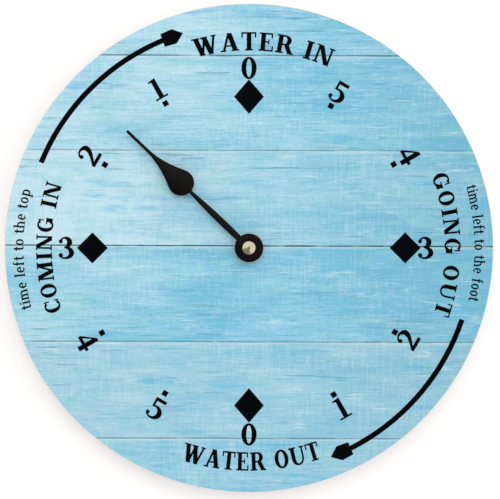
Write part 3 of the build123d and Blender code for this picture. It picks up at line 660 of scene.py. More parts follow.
@dataclass(frozen=True)
class BoardPaint:
    """White paint rolled over the board's front and edge, with bare fibreboard on its back."""

    white: Colour = rgb(243, 243, 241)
    shade: Colour = rgb(226, 226, 222)
    fibre: Colour = rgb(176, 138, 98)
    fibre_dark: Colour = rgb(132, 98, 66)
    fibre_pale: Colour = rgb(204, 172, 132)
    overlap: float = 3.2 * MM
    fuzz: float = 1.8 * MM
    blend: float = 0.4 * MM
    behind: float = 0.1 * MM

    def material(self) -> Material:
        """Build the board's material.

        Returns:
            The material, on object coordinates.
        """
        s = Shader("board_paint")
        place = s.place()
        x, y, z = s.parts(place)
        radius = s.math("SQRT", s.math("ADD", s.times(x, x), s.times(z, z)))
        back, _ = depth_range("dial_board")
        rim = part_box("dial_board")[1].x
        fuzz = s.times(s.math("SUBTRACT", s.noise(place, 130, 4, 0.7), 0.5), self.fuzz)
        edge = rim - self.overlap
        inside = s.step(s.math("ADD", radius, fuzz), edge + self.blend, edge)
        rear = s.step(y, -back - 2 * self.behind, -back - self.behind)
        bare = s.times(inside, rear)
        roller = s.noise(place, 620, 3)
        paint = s.mix(s.times(roller, 0.5), self.white, self.shade)
        strands = s.noise(s.vector(x, y, s.times(z, 2.6)), 900, 5, 0.7)
        raw = s.mix(s.step(strands, 0.30, 0.68), self.fibre_dark, self.fibre)
        raw = s.mix(s.step(s.noise(place, 2100, 3, 0.7), 0.56, 0.74), raw, self.fibre_pale)
        raw = s.mix(s.times(s.noise(place, 14, 3), 0.35), raw, self.fibre_dark)
        s.bump(roller, 0.03 * MM, 0.6)
        s.bump(strands, 0.05 * MM, s.times(bare, 0.8))
        roughness = s.times(bare, 0.38, 0.44)
        return s.done(s.mix(bare, paint, raw), roughness)


@dataclass(frozen=True)
class Ink:
    """Black print, a little uneven like a screened layer."""

    black: Colour = rgb(1, 3, 5)
    worn: Colour = rgb(9, 12, 14)

    def material(self) -> Material:
        """Build the ink's material.

        Returns:
            The material.
        """
        s = Shader("ink")
        place = s.place()
        cloud = s.noise(place, 210, 4, 0.65)
        grain = s.noise(place, 2600, 2)
        uneven = s.times(cloud, s.math("ADD", grain, 0.5))
        colour = s.mix(s.step(uneven, 0.48, 0.74), self.black, self.worn)
        s.bump(grain, 0.006 * MM, 0.6)
        return s.done(colour, s.times(cloud, 0.2, 0.5), Specular_IOR_Level=0.02)


@dataclass(frozen=True)
class HandPaint:
    """Satin black paint on stamped sheet metal, with a faint brownish sheen painted in soft clouds."""

    black: Colour = rgb(4, 2, 2)
    painted_sheen_brown: Colour = rgb(18, 8, 6)

    def material(self) -> Material:
        """Build the hand's material.

        Returns:
            The material.
        """
        s = Shader("hand_paint")
        place = s.place()
        cloud = s.noise(place, 120, 3, 0.6)
        peel = s.noise(place, 1150, 2)
        # Painted sheen: soft clouds of the brownish colour over the black
        colour = s.mix(s.step(cloud, 0.42, 0.72), self.black, self.painted_sheen_brown)
        s.bump(peel, 0.014 * MM, 0.7)
        s.bump(cloud, 0.05 * MM, 0.3)
        roughness = s.times(cloud, 0.22, 0.26)
        return s.done(colour, roughness, Specular_IOR_Level=0.05)


@dataclass(frozen=True)
class Turned:
    """Metal turned on a lathe, with fine rings round its own axis."""

    name: str
    metal: Colour
    dull: Colour
    axis: tuple[float, float] = (0.0, 0.0)
    roughness: float = 0.22
    ring_scale: float = 9000.0
    thread_pitch: float = 0.0

    def material(self) -> Material:
        """Build the turned metal's material, with its rings round a line along Y.

        Returns:
            The material.
        """
        s = Shader(self.name)
        place = s.place()
        x, y, z = s.parts(place)
        across = s.math("SUBTRACT", x, self.axis[0])
        up = s.math("SUBTRACT", z, self.axis[1])
        square = s.times(across, across, s.times(up, up))
        station = s.times(y, 0.37, s.math("SQRT", square))
        rings = s.noise(s.vector(station, 0.0, 0.0), self.ring_scale, 3, 0.6)
        cloud = s.noise(place, 420, 3, 0.6)
        colour = s.mix(s.times(s.step(cloud, 0.35, 0.7), 0.7), self.metal, self.dull)
        colour = s.mix(s.times(rings, 0.35), colour, self.dull)
        s.bump(rings, 0.006 * MM, 0.5)
        if self.thread_pitch:
            wave = s.math("SINE", s.times(y, 2 * math.pi / self.thread_pitch))
            s.bump(wave, self.thread_pitch * 0.3)
        roughness = s.times(rings, 0.18, self.roughness - 0.06)
        return s.done(colour, s.times(cloud, 0.08, roughness), 1.0)


@dataclass(frozen=True)
class NutMetal:
    """Lacquered nut metal, with painted shade in dark umber at its tip, round its foot and down one flank."""

    metal: Colour = rgb(228, 216, 188)
    dull: Colour = rgb(188, 170, 130)
    painted_shade_brown: Colour = rgb(46, 34, 22)
    # Painted shade: the way across the nut to the flank it darkens, and how far from the axis the tip's and
    # the foot's shade reach
    flank: tuple[float, float] = (-0.56, -0.83)
    tip: float = 0.95 * MM
    foot: float = 3.1 * MM

    def material(self) -> Material:
        """Build the nut's material, with its rings round the hand's axis.

        Returns:
            The material.
        """
        s = Shader("cap_nut_metal")
        place = s.place()
        x, y, z = s.parts(place)
        square = s.times(x, x, s.times(z, z))
        radius = s.math("SQRT", square)
        rings = s.noise(s.vector(s.times(y, 0.37, radius), 0.0, 0.0), 6500, 3, 0.6)
        cloud = s.noise(place, 700, 3, 0.6)
        edge = s.times(s.math("SUBTRACT", cloud, 0.5), 0.5 * MM, radius)
        colour = s.mix(s.times(rings, 0.5), self.metal, self.dull)
        # Painted shade: dark at the tip, round the foot where the nut meets the hub, and down one fixed
        # flank, in place of dark reflections
        tip_shade = s.step(edge, self.tip, self.tip * 0.6)
        foot_shade = s.step(edge, self.foot, self.foot + 0.6 * MM)
        lean = s.times(x, self.flank[0], s.times(z, self.flank[1]))
        turn = s.times(s.math("SUBTRACT", cloud, 0.5), 0.5, s.math("DIVIDE", lean, radius))
        flank_shade = s.times(s.step(turn, 0.35, 0.95), 0.85)
        painted_shade_share = s.math("MAXIMUM", flank_shade, s.math("MAXIMUM", tip_shade, foot_shade))
        colour = s.mix(s.times(painted_shade_share, 0.85), colour, self.painted_shade_brown)
        s.bump(rings, 0.008 * MM, 0.5)
        roughness = s.times(rings, 0.12, 0.26)
        return s.done(colour, s.times(foot_shade, 0.2, roughness), 1.0)


@dataclass(frozen=True)
class Sheet:
    """Rolled or plated sheet metal, with fine scratches along one way and a few dull clouds."""

    name: str
    metal: Colour
    dull: Colour
    stretch: tuple[float, float, float] = (0.06, 1.0, 1.0)
    roughness: float = 0.28

    def material(self) -> Material:
        """Build the sheet metal's material.

        Returns:
            The material.
        """
        s = Shader(self.name)
        place = s.place()
        mapping = s.node("ShaderNodeMapping")
        s.feed(mapping.inputs["Vector"], place)
        mapping.inputs["Scale"].default_value = self.stretch
        scratches = s.noise(mapping.outputs[0], 5200, 3, 0.6)
        cloud = s.noise(place, 260, 4, 0.6)
        colour = s.mix(s.step(cloud, 0.40, 0.72), self.metal, self.dull)
        s.bump(scratches, 0.005 * MM, 0.6)
        roughness = s.times(scratches, 0.16, self.roughness - 0.08)
        return s.done(colour, s.times(cloud, 0.1, roughness), 1.0)


@dataclass(frozen=True)
class Moulded:
    """Moulded plastic or rubber, with a spark-eroded texture and slight flow marks."""

    name: str
    base: Colour
    other: Colour
    roughness: float = 0.45
    texture: float = 0.010
    texture_scale: float = 3200.0
    glow: float = 0.0

    def material(self) -> Material:
        """Build the moulded material.

        Returns:
            The material.
        """
        s = Shader(self.name)
        place = s.place()
        flow = s.noise(place, 75, 3, 0.5)
        grain = s.noise(place, self.texture_scale, 2, 0.6)
        dust = s.step(s.noise(place, 900, 4, 0.75), 0.63, 0.8)
        colour = s.mix(s.step(flow, 0.35, 0.7), self.base, self.other)
        colour = s.mix(s.times(dust, 0.18), colour, rgb(150, 148, 144))
        s.bump(grain, self.texture * MM, 0.8)
        s.bump(flow, 0.06 * MM, 0.25)
        roughness = s.times(flow, 0.14, self.roughness - 0.07)
        roughness = s.times(dust, 0.15, roughness)
        return s.done(colour, roughness, Subsurface_Weight=self.glow, Subsurface_Scale=0.6 * MM)


@dataclass(frozen=True)
class Winding:
    """Enamelled copper wire wound close round the coil, which lies along X."""

    copper: Colour = rgb(168, 84, 44)
    # Painted shade between the turns, and also the darker tone of the soft clouds
    gap: Colour = rgb(74, 28, 16)
    turns_per_mm: float = 6.0

    def material(self) -> Material:
        """Build the winding's material.

        Returns:
            The material.
        """
        s = Shader("enamelled_wire")
        place = s.place()
        x, _, _ = s.parts(place)
        wave = s.math("SINE", s.times(x, self.turns_per_mm * 2 * math.pi / MM))
        round_wire = s.times(wave, 0.5, 0.5)
        cloud = s.noise(place, 700, 3)
        # Painted shade: the dark colour lies in the grooves between the turns, and it also darkens soft
        # clouds at random
        colour = s.mix(s.step(round_wire, 0.05, 0.6), self.gap, self.copper)
        colour = s.mix(s.times(cloud, 0.3), colour, self.gap)
        s.bump(round_wire, 0.04 * MM, 0.8)
        roughness = s.times(cloud, 0.15, 0.2)
        return s.done(colour, roughness, 0.75, Coat_Weight=0.6, Coat_Roughness=0.12)


@dataclass(frozen=True)
class Laminate:
    """Green circuit board with faint glass weave, tracks under the mask and tinned pads."""

    mask: Colour = rgb(30, 92, 52)
    track: Colour = rgb(58, 132, 74)
    tin: Colour = rgb(190, 192, 190)
    pitch: float = 1.9

    def material(self) -> Material:
        """Build the circuit board's material.

        Returns:
            The material.
        """
        s = Shader("circuit_laminate")
        place = s.place()
        x, _, z = s.parts(place)
        jog = s.times(s.noise(s.vector(x, 0.0, 0.0), 240, 0), 6)
        bend = s.times(s.math("ROUND", jog), 0.4 * MM)
        row = s.math("PINGPONG", s.math("ADD", z, bend), self.pitch * MM / 2)
        track = s.step(row, 0.30 * MM, 0.24 * MM)
        pad = s.step(s.cells(s.vector(x, 0.0, z), 420), 0.20, 0.17)
        warp = s.math("SINE", s.times(x, 9000))
        weft = s.math("SINE", s.times(z, 9000))
        weave = s.times(warp, weft)
        colour = s.mix(track, self.mask, self.track)
        colour = s.mix(s.times(weave, 0.04, 0.04), colour, self.track)
        colour = s.mix(pad, colour, self.tin)
        s.bump(s.math("ADD", track, pad), 0.03 * MM, 0.6)
        s.bump(weave, 0.006 * MM, 0.4)
        return s.done(colour, s.times(pad, -0.1, 0.34))


@dataclass(frozen=True)
class CellSleeve:
    """Shrunk sleeve of a plain battery: dark, with a pale band at the raised end."""

    dark: Colour = rgb(38, 44, 52)
    band: Colour = rgb(196, 200, 204)
    band_share: float = 0.24
    stripe: tuple[float, float] = (1.6 * MM, 0.8 * MM)
    blend: float = 0.1 * MM

    def material(self) -> Material:
        """Build the sleeve's material.

        Returns:
            The material.
        """
        s = Shader("cell_sleeve")
        place = s.place()
        x, _, _ = s.parts(place)
        low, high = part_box("battery")
        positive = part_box("battery_contact_positive")[0].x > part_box("battery_contact_negative")[0].x
        along = s.math("SUBTRACT", x, low.x) if positive else s.math("SUBTRACT", high.x, x)
        start = (high.x - low.x) * (1 - self.band_share)
        far, near = (start - gap for gap in self.stripe)
        band = s.step(along, start - self.blend / 2, start + self.blend / 2)
        stripe = s.step(along, far, far + self.blend)
        stripe = s.times(stripe, s.step(along, near, near - self.blend))
        ripple = s.noise(s.vector(s.times(x, 0.15), 0.0, 0.0), 900, 2)
        cloud = s.noise(place, 160, 3)
        colour = s.mix(s.clamp(s.math("ADD", band, stripe)), self.dark, self.band)
        colour = s.mix(s.times(cloud, 0.12), colour, rgb(120, 124, 128))
        s.bump(ripple, 0.05 * MM, 0.5)
        s.bump(s.noise(place, 1500, 2), 0.006 * MM, 0.5)
        roughness = s.times(cloud, 0.12, 0.2)
        return s.done(colour, roughness, 0.25, Coat_Weight=0.5, Coat_Roughness=0.1)


# Letters


@dataclass(frozen=True)
class Stroke:
    """One stroke of a letter, in shares of the capital height."""

    left: float
    right: float
    low: float
    high: float
    lean: float = 0.0
    side: float | None = None
    top: float = 0.0
    start: float = 0.0
    end: float = 360.0

    def build(self, height: float, thickness: float) -> Object:
        """Make the stroke as a flat solid standing in the XZ plane.

        Args:
            height: Capital height, in metres.
            thickness: Thickness of the ink, in metres.

        Returns:
            The stroke's object.
        """
        return self.straight(height, thickness) if self.side is None else self.curved(height, thickness)

    def straight(self, height: float, thickness: float) -> Object:
        """Bar between four edges, its top moved sideways by its lean.

        Args:
            height: Capital height.
            thickness: Thickness of the ink.

        Returns:
            The bar.
        """
        middle = ((self.left + self.right) / 2 * height, 0, (self.low + self.high) / 2 * height)
        scale = ((self.right - self.left) * height, thickness, (self.high - self.low) * height)
        bpy.ops.object.select_all(action="DESELECT")
        bpy.ops.mesh.primitive_cube_add(size=1, location=middle, scale=scale)
        bar = settle(bpy.context.view_layer.objects.active)
        if self.lean:
            edit(bar)
            select_where(bar, "VERT", lambda places: places[0].z > middle[2])
            bpy.ops.transform.translate(value=(self.lean * height, 0, 0))
            leave_edit()
        return bar

    def curved(self, height: float, thickness: float) -> Object:
        """Part of an oval ring, with its sides and its top of different weight.

        Args:
            height: Capital height.
            thickness: Thickness of the ink.

        Returns:
            The part of the ring.
        """
        half_wide = (self.right - self.left) / 2 * height
        half_tall = (self.high - self.low) / 2 * height
        middle = Vector(((self.left + self.right) / 2, 0, (self.low + self.high) / 2)) * height
        bpy.ops.object.select_all(action="DESELECT")
        bpy.ops.mesh.primitive_circle_add(
            vertices=CURVE_POINTS, radius=1, location=middle, rotation=(math.pi / 2, 0, 0)
        )
        ring = settle(bpy.context.view_layer.objects.active)
        edit(ring)
        bpy.ops.mesh.select_all(action="SELECT")
        bpy.ops.transform.resize(value=(half_wide, 1, half_tall), center_override=middle)
        bpy.ops.mesh.extrude_region_move()
        inner = (1 - self.side * height / half_wide, 1, 1 - self.top * height / half_tall)
        bpy.ops.transform.resize(value=inner, center_override=middle)

        def outside(places: list[Vector]) -> bool:
            """Tell whether a point lies past the stroke's ends.

            Args:
                places: The point's place, alone in its list.

            Returns:
                True past the ends.
            """
            off = places[0] - middle
            turn = math.degrees(math.atan2(off.z / half_tall, off.x / half_wide))
            return (turn - self.start) % 360 > self.end - self.start + 1

        if self.end - self.start < 360:
            select_where(ring, "VERT", outside)
            bpy.ops.mesh.delete(type="VERT")
            bpy.ops.mesh.select_all(action="SELECT")
            bpy.ops.mesh.delete_loose(use_verts=True, use_edges=True, use_faces=False)
        bpy.ops.mesh.select_mode(type="FACE")
        bpy.ops.mesh.select_all(action="SELECT")
        bpy.ops.mesh.extrude_region_move(TRANSFORM_OT_translate={"value": (0, thickness, 0)})
        bpy.ops.mesh.select_all(action="SELECT")
        bpy.ops.transform.translate(value=(0, -thickness / 2, 0))
        bpy.ops.mesh.normals_make_consistent(inside=False)
        leave_edit()
        return ring


@dataclass(frozen=True)
class Face:
    """Weights of a style of letter, in shares of the capital height."""

    stem: float
    hair: float
    serif: float
    reach: float
    thin_slope: float = 1.15
    thick_slope: float = 1.12
    light_side: float = 1.2

    def stem_at(
        self, left: float, low: float = 0.0, high: float = 1.0, feet: str = "both", thin: bool = False
    ) -> list[Stroke]:
        """Upright stroke with flat feet.

        Args:
            left: Its left side.
            low: Its lower end.
            high: Its upper end.
            feet: Which ends have feet: both, low, high, flag or none. A flag is a foot and half a head.
            thin: Whether it has a hairline's weight.

        Returns:
            The strokes.
        """
        right = left + (self.hair if thin else self.stem)
        strokes = [Stroke(left, right, low, high)]
        if feet in ("both", "low", "flag"):
            strokes.append(Stroke(left - self.reach, right + self.reach, low, low + self.serif))
        if feet in ("both", "high"):
            strokes.append(Stroke(left - self.reach, right + self.reach, high - self.serif, high))
        if feet == "flag":
            strokes.append(Stroke(left - self.reach, left + self.stem / 2, high - self.serif, high))
        return strokes

    def slope(self, left: float, low: float, right: float, high: float, thin: bool = False) -> Stroke:
        """Sloping stroke between the left side of its foot and that of its head."""
        width = self.hair * self.thin_slope if thin else self.stem * self.thick_slope
        return Stroke(left, left + width, low, high, lean=right - left)

    def bowl(self, *edges: float, start: float = 0, end: float = 360, light: bool = False) -> Stroke:
        """Oval stroke from one angle to another, anticlockwise from the right."""
        side = self.hair * self.light_side if light else self.stem
        return Stroke(*edges, side=side, top=self.hair, start=start, end=end)


def capitals_table(c: Face) -> dict[str, tuple[float, list[Stroke]]]:
    """Capitals of our own slab-footed design.

    Args:
        c: The weights of their strokes.

    Returns:
        Width and strokes of each capital, in shares of its height.
    """
    foot, leg = 0, c.serif
    head = 1 - c.serif
    left_turn = Stroke(0.09, 0.79, -0.015, 0.735, side=c.stem, top=c.hair, start=180, end=270)
    right_turn = Stroke(0.09, 0.79, -0.015, 0.735, side=c.hair, top=c.hair, start=270, end=360)
    a = [c.slope(0.10, 0, 0.40, 1, thin=True), c.slope(0.62, 0, 0.36, 1), Stroke(0.22, 0.70, 0.26, 0.34)]
    a += [Stroke(0.0, 0.28, foot, leg), Stroke(0.54, 0.92, foot, leg)]
    curl = Stroke(0.66, 0.73, 0.64, 0.98)
    opened = c.bowl(0.02, 0.80, -0.015, 1.015, start=42, end=318)
    e = [*c.stem_at(0.085), Stroke(0.085, 0.66, 0.915, 1), Stroke(0.085, 0.70, 0, 0.085)]
    e += [Stroke(0.20, 0.50, 0.47, 0.55), Stroke(0.59, 0.66, 0.72, 1), Stroke(0.63, 0.70, 0, 0.30)]
    e += [Stroke(0.44, 0.50, 0.37, 0.65)]
    g = [c.bowl(0.02, 0.82, -0.015, 1.015, start=42, end=330), curl]
    g += [Stroke(0.60, 0.60 + c.stem, 0.06, 0.44), Stroke(0.48, 0.86, 0.40, 0.475)]
    m = [*c.stem_at(0.10, thin=True), *c.stem_at(0.83), c.slope(0.46, 0, 0.10, 1)]
    m += [c.slope(0.50, 0, 0.86, 1, thin=True)]
    n = [*c.stem_at(0.10, thin=True), *c.stem_at(0.73, feet="high", thin=True), c.slope(0.60, 0, 0.08, 1)]
    r = [*c.stem_at(0.085), c.bowl(0.14, 0.74, 0.44, 1.0, start=-90, end=90), Stroke(0.20, 0.46, 0.91, 1.0)]
    r += [Stroke(0.20, 0.46, 0.44, 0.53), c.slope(0.62, 0, 0.38, 0.50), Stroke(0.60, 0.90, foot, leg)]
    t = [*c.stem_at(0.2875, feet="low"), Stroke(0.02, 0.76, 0.915, 1)]
    t += [Stroke(0.02, 0.09, 0.70, 1), Stroke(0.69, 0.76, 0.70, 1)]
    u = [*c.stem_at(0.09, 0.36, feet="high"), *c.stem_at(0.70, 0.36, feet="high", thin=True)]
    w = [c.slope(0.30, 0, 0.08, 1), c.slope(0.36, 0, 0.60, 1, thin=True)]
    w += [c.slope(0.74, 0, 0.50, 1), c.slope(0.82, 0, 1.08, 1, thin=True)]
    w += [Stroke(0.0, 0.39, head, 1), Stroke(0.44, 0.80, head, 1), Stroke(0.98, 1.24, head, 1)]
    return {
        "A": (0.92, a),
        "C": (0.76, [opened, curl, Stroke(0.66, 0.73, 0.03, 0.30)]),
        "E": (0.72, e),
        "G": (0.86, g),
        "I": (0.385, c.stem_at(0.09)),
        "M": (1.12, m),
        "N": (0.92, n),
        "O": (0.84, [c.bowl(0.02, 0.82, -0.015, 1.015)]),
        "R": (0.87, r),
        "T": (0.78, t),
        "U": (0.90, [*u, left_turn, right_turn]),
        "W": (1.24, w),
    }


def small_table(f: Face, tall: float = 0.68) -> dict[str, tuple[float, list[Stroke]]]:
    """Small letters of our own design.

    Args:
        f: The weights of their strokes.
        tall: Height of those without an upper length.

    Returns:
        Width and strokes of each letter, in shares of the tall letters' height.
    """
    round_foot, round_head = -0.01, tall + 0.01
    bar = (tall - f.hair, tall)
    first = f.stem_at(0.07, 0, tall, feet="flag")
    arch = (0.16, round_head)
    h = [*f.stem_at(0.07, feet="flag"), f.bowl(0.07, 0.53, *arch, end=144)]
    m = [*first, f.bowl(0.07, 0.50, *arch, end=144), *f.stem_at(0.385, 0, 0.44, feet="low")]
    m += [f.bowl(0.385, 0.85, *arch, end=144), *f.stem_at(0.735, 0, 0.44, feet="low")]
    p = [*f.stem_at(0.07, -0.30, tall, feet="flag")]
    hook = f.bowl(0.09, 0.50, 0.66, 1.02, start=63, end=180, light=True)
    tail = f.bowl(0.085, 0.46, round_foot, 0.36, start=180, end=324)
    eye = f.bowl(0.03, 0.53, round_foot, round_head, end=318)
    return {
        "e": (0.55, [eye, Stroke(0.10, 0.50, 0.32, 0.39)]),
        "f": (0.40, [*f.stem_at(0.09, 0, 0.84, feet="low"), hook, Stroke(0.0, 0.36, *bar)]),
        "h": (0.64, [*h, *f.stem_at(0.415, 0, 0.44, feet="low")]),
        "i": (0.28, [*first, Stroke(0.06, 0.20, 0.82, 0.96)]),
        "l": (0.28, f.stem_at(0.07, feet="flag")),
        "m": (0.96, m),
        "o": (0.58, [f.bowl(0.03, 0.55, round_foot, round_head)]),
        "p": (0.62, [*p, f.bowl(0.06, 0.58, round_foot, round_head, start=-144, end=144)]),
        "t": (0.38, [*f.stem_at(0.09, 0.16, 0.88, feet="none"), Stroke(0.0, 0.34, *bar), tail]),
    }


ALPHABETS = {
    True: capitals_table(Face(stem=0.225, hair=0.105, serif=0.08, reach=0.088)),
    False: small_table(Face(stem=0.150, hair=0.095, serif=0.062, reach=0.06)),
}


@dataclass(frozen=True)
class Legend:
    """A line of letters round the dial, its middle in degrees from the top and its gaps in letter heights."""

    name: str
    words: str
    radius: float
    middle: float
    height: float
    along: Along
    capitals: bool
    stretch: float
    gap: float
    space: float = 0.36


@dataclass
class DialLettering:
    """Printed legends of the dial, in letters built stroke by stroke."""

    thickness: float
    back: float
    merge: float = 0.005 * MM
    cut: dict[tuple[str, bool], tuple[float, bpy.types.Mesh]] = field(default_factory=dict)

    def letter(self, letter: str, capitals: bool) -> tuple[float, bpy.types.Mesh]:
        """Cut a letter once, one unit high, and keep it for its copies.

        Args:
            letter: The letter.
            capitals: Whether it is a capital.

        Returns:
            Its width as a share of its height, and its mesh.
        """
        key = (letter, capitals)
        if key not in self.cut:
            width, strokes = ALPHABETS[capitals][letter]
            solids = [stroke.build(LETTER_HEIGHT, self.thickness) for stroke in strokes]
            whole = solids[0]
            others = bpy.data.collections.new("strokes")
            for solid in solids[1:]:
                others.objects.link(solid)
            if len(solids) > 1:
                union = whole.modifiers.new("join", "BOOLEAN")
                union.operation = "UNION"
                union.solver = "EXACT"
                union.operand_type = "COLLECTION"
                union.collection = others
            apply_modifiers(whole)
            for solid in solids[1:]:
                bpy.data.objects.remove(solid)
            bpy.data.collections.remove(others)
            edit(whole)
            bpy.ops.mesh.select_all(action="SELECT")
            bpy.ops.mesh.remove_doubles(threshold=self.merge)
            bpy.ops.mesh.quads_convert_to_tris(quad_method="BEAUTY", ngon_method="BEAUTY")
            leave_edit()
            mesh = whole.data.copy()
            bpy.data.objects.remove(whole)
            self.cut[key] = (width, mesh)
        return self.cut[key]

    def place(self, legend: Legend) -> Object:
        """Set a legend's letters round the dial as one piece of ink.

        Args:
            legend: The line of letters.

        Returns:
            The piece.
        """
        over = legend.along is Along.OVER
        sense = 1 if over else -1
        scale = legend.height / LETTER_HEIGHT
        widths = []
        for letter in legend.words:
            wide = legend.space
            if letter != " ":
                wide = self.letter(letter, legend.capitals)[0] * legend.stretch
            widths.append((wide + legend.gap) * legend.height)
        travel = -sum(widths) / 2
        copies = []
        for letter, wide in zip(legend.words, widths):
            middle = travel + wide / 2
            travel += wide
            if letter == " ":
                continue
            share, mesh = self.letter(letter, legend.capitals)
            copy = bpy.data.objects.new(legend.name, mesh.copy())
            bpy.context.scene.collection.objects.link(copy)
            bearing = math.radians(legend.middle) + sense * middle / legend.radius
            turn = bearing if over else bearing + math.pi
            home = Vector((legend.radius * math.sin(bearing), 0, legend.radius * math.cos(bearing)))
            centred = Matrix.Translation((-share * LETTER_HEIGHT / 2, 0, -LETTER_HEIGHT / 2))
            copy.matrix_world = (
                Matrix.Translation(home + Vector((0, -self.back - self.thickness / 2, 0)))
                @ Matrix.Rotation(turn, 4, "Y")
                @ Matrix.Diagonal((scale * legend.stretch, 1, scale, 1))
                @ centred
            )
            copies.append(copy)
        piece = settle(joined(copies, legend.name))
        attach(piece, ROOT)
        return piece


OVER, UNDER = Along.OVER, Along.UNDER
LEGENDS = (
    Legend("legend_top", "WATER IN", 112.6 * MM, 4.0, 10.0 * MM, OVER, True, 1.1, 0.14),
    Legend("legend_bottom", "WATER OUT", 116.4 * MM, 179.4, 10.0 * MM, UNDER, True, 0.94, 0.07),
    Legend("legend_left", "COMING IN", 111.7 * MM, -90.0, 8.6 * MM, OVER, True, 1.1, 0.15),
    Legend("legend_right", "GOING OUT", 111.0 * MM, 89.0, 8.6 * MM, OVER, True, 1.15, 0.19),
    Legend("small_legend_left", "time left to the top", 125.9 * MM, -90.3, 6.0 * MM, OVER, False, 1.08, 0.06),
    Legend("small_legend_right", "time left to the foot", 125.9 * MM, 88.8, 6.0 * MM, OVER, False, 1.0, 0.05),
)


# Pieces that replace plain CAD solids


@dataclass
class Hand:
    """Spade hand with the soft edges of a stamping, and its collet."""

    edge: float = 0.16 * MM

    def build(self) -> list[Object]:
        """Make the hand and its collet from the CAD outline.

        Returns:
            The two pieces.
        """
        made = []
        for node in ("tide_hand", "hand_bush"):
            piece = bevelled(merged_copy(node, f"{node}_stamped"), self.edge, 3)
            smooth(piece)
            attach(piece, "hand_and_hour_wheel")
            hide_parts(node)
            made.append(piece)
        return made


@dataclass
class CapNut:
    """Closed nut turned from bar: a skirt, a shallow cone in fine steps and a rounded tip."""

    steps: int = 7
    tip: float = 0.75 * MM
    skirt: float = 1.2 * MM
    groove: float = 0.03 * MM
    edge: float = 0.55 * MM
    tip_rim: float = 0.8
    tip_drop: float = 0.2
    tip_flat: float = 0.15

    def build(self) -> Object:
        """Turn the nut about the hand's axis.

        Returns:
            The piece.
        """
        low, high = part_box("cap_nut")
        radius = (high.x - low.x) / 2
        back, front = depth_range("cap_nut")
        length = front - back
        shoulder = radius - self.edge
        mid_round = self.edge * MID_ROUND
        stations = [
            (radius, self.edge),
            (radius, self.skirt - self.edge),
            (radius - mid_round, self.skirt - mid_round),
            (shoulder, self.skirt),
        ]
        rise = length - self.edge - self.skirt
        for number in range(1, self.steps + 1):
            share = number / self.steps
            wide = shoulder + (self.tip - shoulder) * share
            deep = self.skirt + rise * share
            stations.append((wide + self.groove, deep - self.groove))
            stations.append((wide, deep))
        stations.append((self.tip * self.tip_rim, length - self.edge * self.tip_drop))
        stations.append((self.tip * self.tip_flat, length))
        nut = turned("cap_nut_turned", shoulder, stations)
        nut.location = (0, -back, 0)
        settle(nut)
        smooth(nut, 20)
        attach(nut, "minute_arbor_and_nut")
        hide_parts("cap_nut")
        return nut


@dataclass
class FixingNut:
    """Hexagon nut with its corners chamfered."""

    chamfer: float = 0.3 * MM

    def build(self) -> Object:
        """Make the nut from the CAD outline.

        Returns:
            The piece.
        """
        nut = bevelled(merged_copy("hex_nut", "hex_nut_chamfered"), self.chamfer, 2, 50)
        smooth(nut, 25)
        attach(nut, ROOT)
        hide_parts("hex_nut")
        return nut


@dataclass
class MovementShell:
    """Moulded shell, cover and hanging tab of the movement, with the soft rims of a moulding."""

    shell_round: float = 0.5 * MM
    cover_round: float = 0.45 * MM
    tab_round: float = 0.3 * MM
    rim_share: float = 0.95

    def rounded_rim(self, node: str, depth: float, width: float) -> Object:
        """Copy of a node with the outer rim of one of its faces rounded.

        Args:
            node: The CAD node's name.
            depth: Depth of the face.
            width: Width of the round.

        Returns:
            The piece.
        """
        piece = merged_copy(node, f"{node}_moulded")
        low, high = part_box(node)
        middle = (low + high) / 2
        half = (high - low) / 2

        def on_rim(place: Vector) -> bool:
            """Whether a point lies on the outer rim of the face."""
            far = max(abs(place.x - middle.x) / half.x, abs(place.z - middle.z) / half.z)
            return abs(-place.y - depth) < NEAR and far > self.rim_share

        edges_rounded(piece, width, lambda ends: all(on_rim(end) for end in ends))
        return piece

    def build(self) -> list[Object]:
        """Make the three mouldings.

        Returns:
            The pieces.
        """
        shell_back, _ = depth_range("movement_case")
        _, cover_front = depth_range("front_cover")
        tab = merged_copy("hanging_tab", "hanging_tab_moulded")
        made = {
            "movement_case": self.rounded_rim("movement_case", shell_back, self.shell_round),
            "front_cover": self.rounded_rim("front_cover", cover_front, self.cover_round),
            "hanging_tab": bevelled(tab, self.tab_round, 3, 60),
        }
        for node, piece in made.items():
            smooth(piece, 30)
            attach(piece, ROOT)
            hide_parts(node)
        return list(made.values())


@dataclass
class SettingKnob:
    """Setting knob with rounded rims on both faces of its disc."""

    disc_round: float = 0.25 * MM
    rim_share: float = 0.97

    def build(self) -> Object:
        """Make the knob with its stem and pinion from the CAD outline.

        Returns:
            The piece.
        """
        knob = merged_copy("set_knob", "set_knob_moulded")
        low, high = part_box("set_knob")
        middle = (low + high) / 2
        rim = (high.x - low.x) / 2 * self.rim_share

        def on_rim(ends: list[Vector]) -> bool:
            """Whether an edge runs along one of the disc's rims."""
            reaches = [math.hypot(end.x - middle.x, end.z - middle.z) for end in ends]
            return min(reaches) > rim and abs(ends[0].y - ends[1].y) < NEAR

        edges_rounded(knob, self.disc_round, on_rim)
        smooth(knob, 30)
        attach(knob, "set_knob")
        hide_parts("set_knob")
        return knob


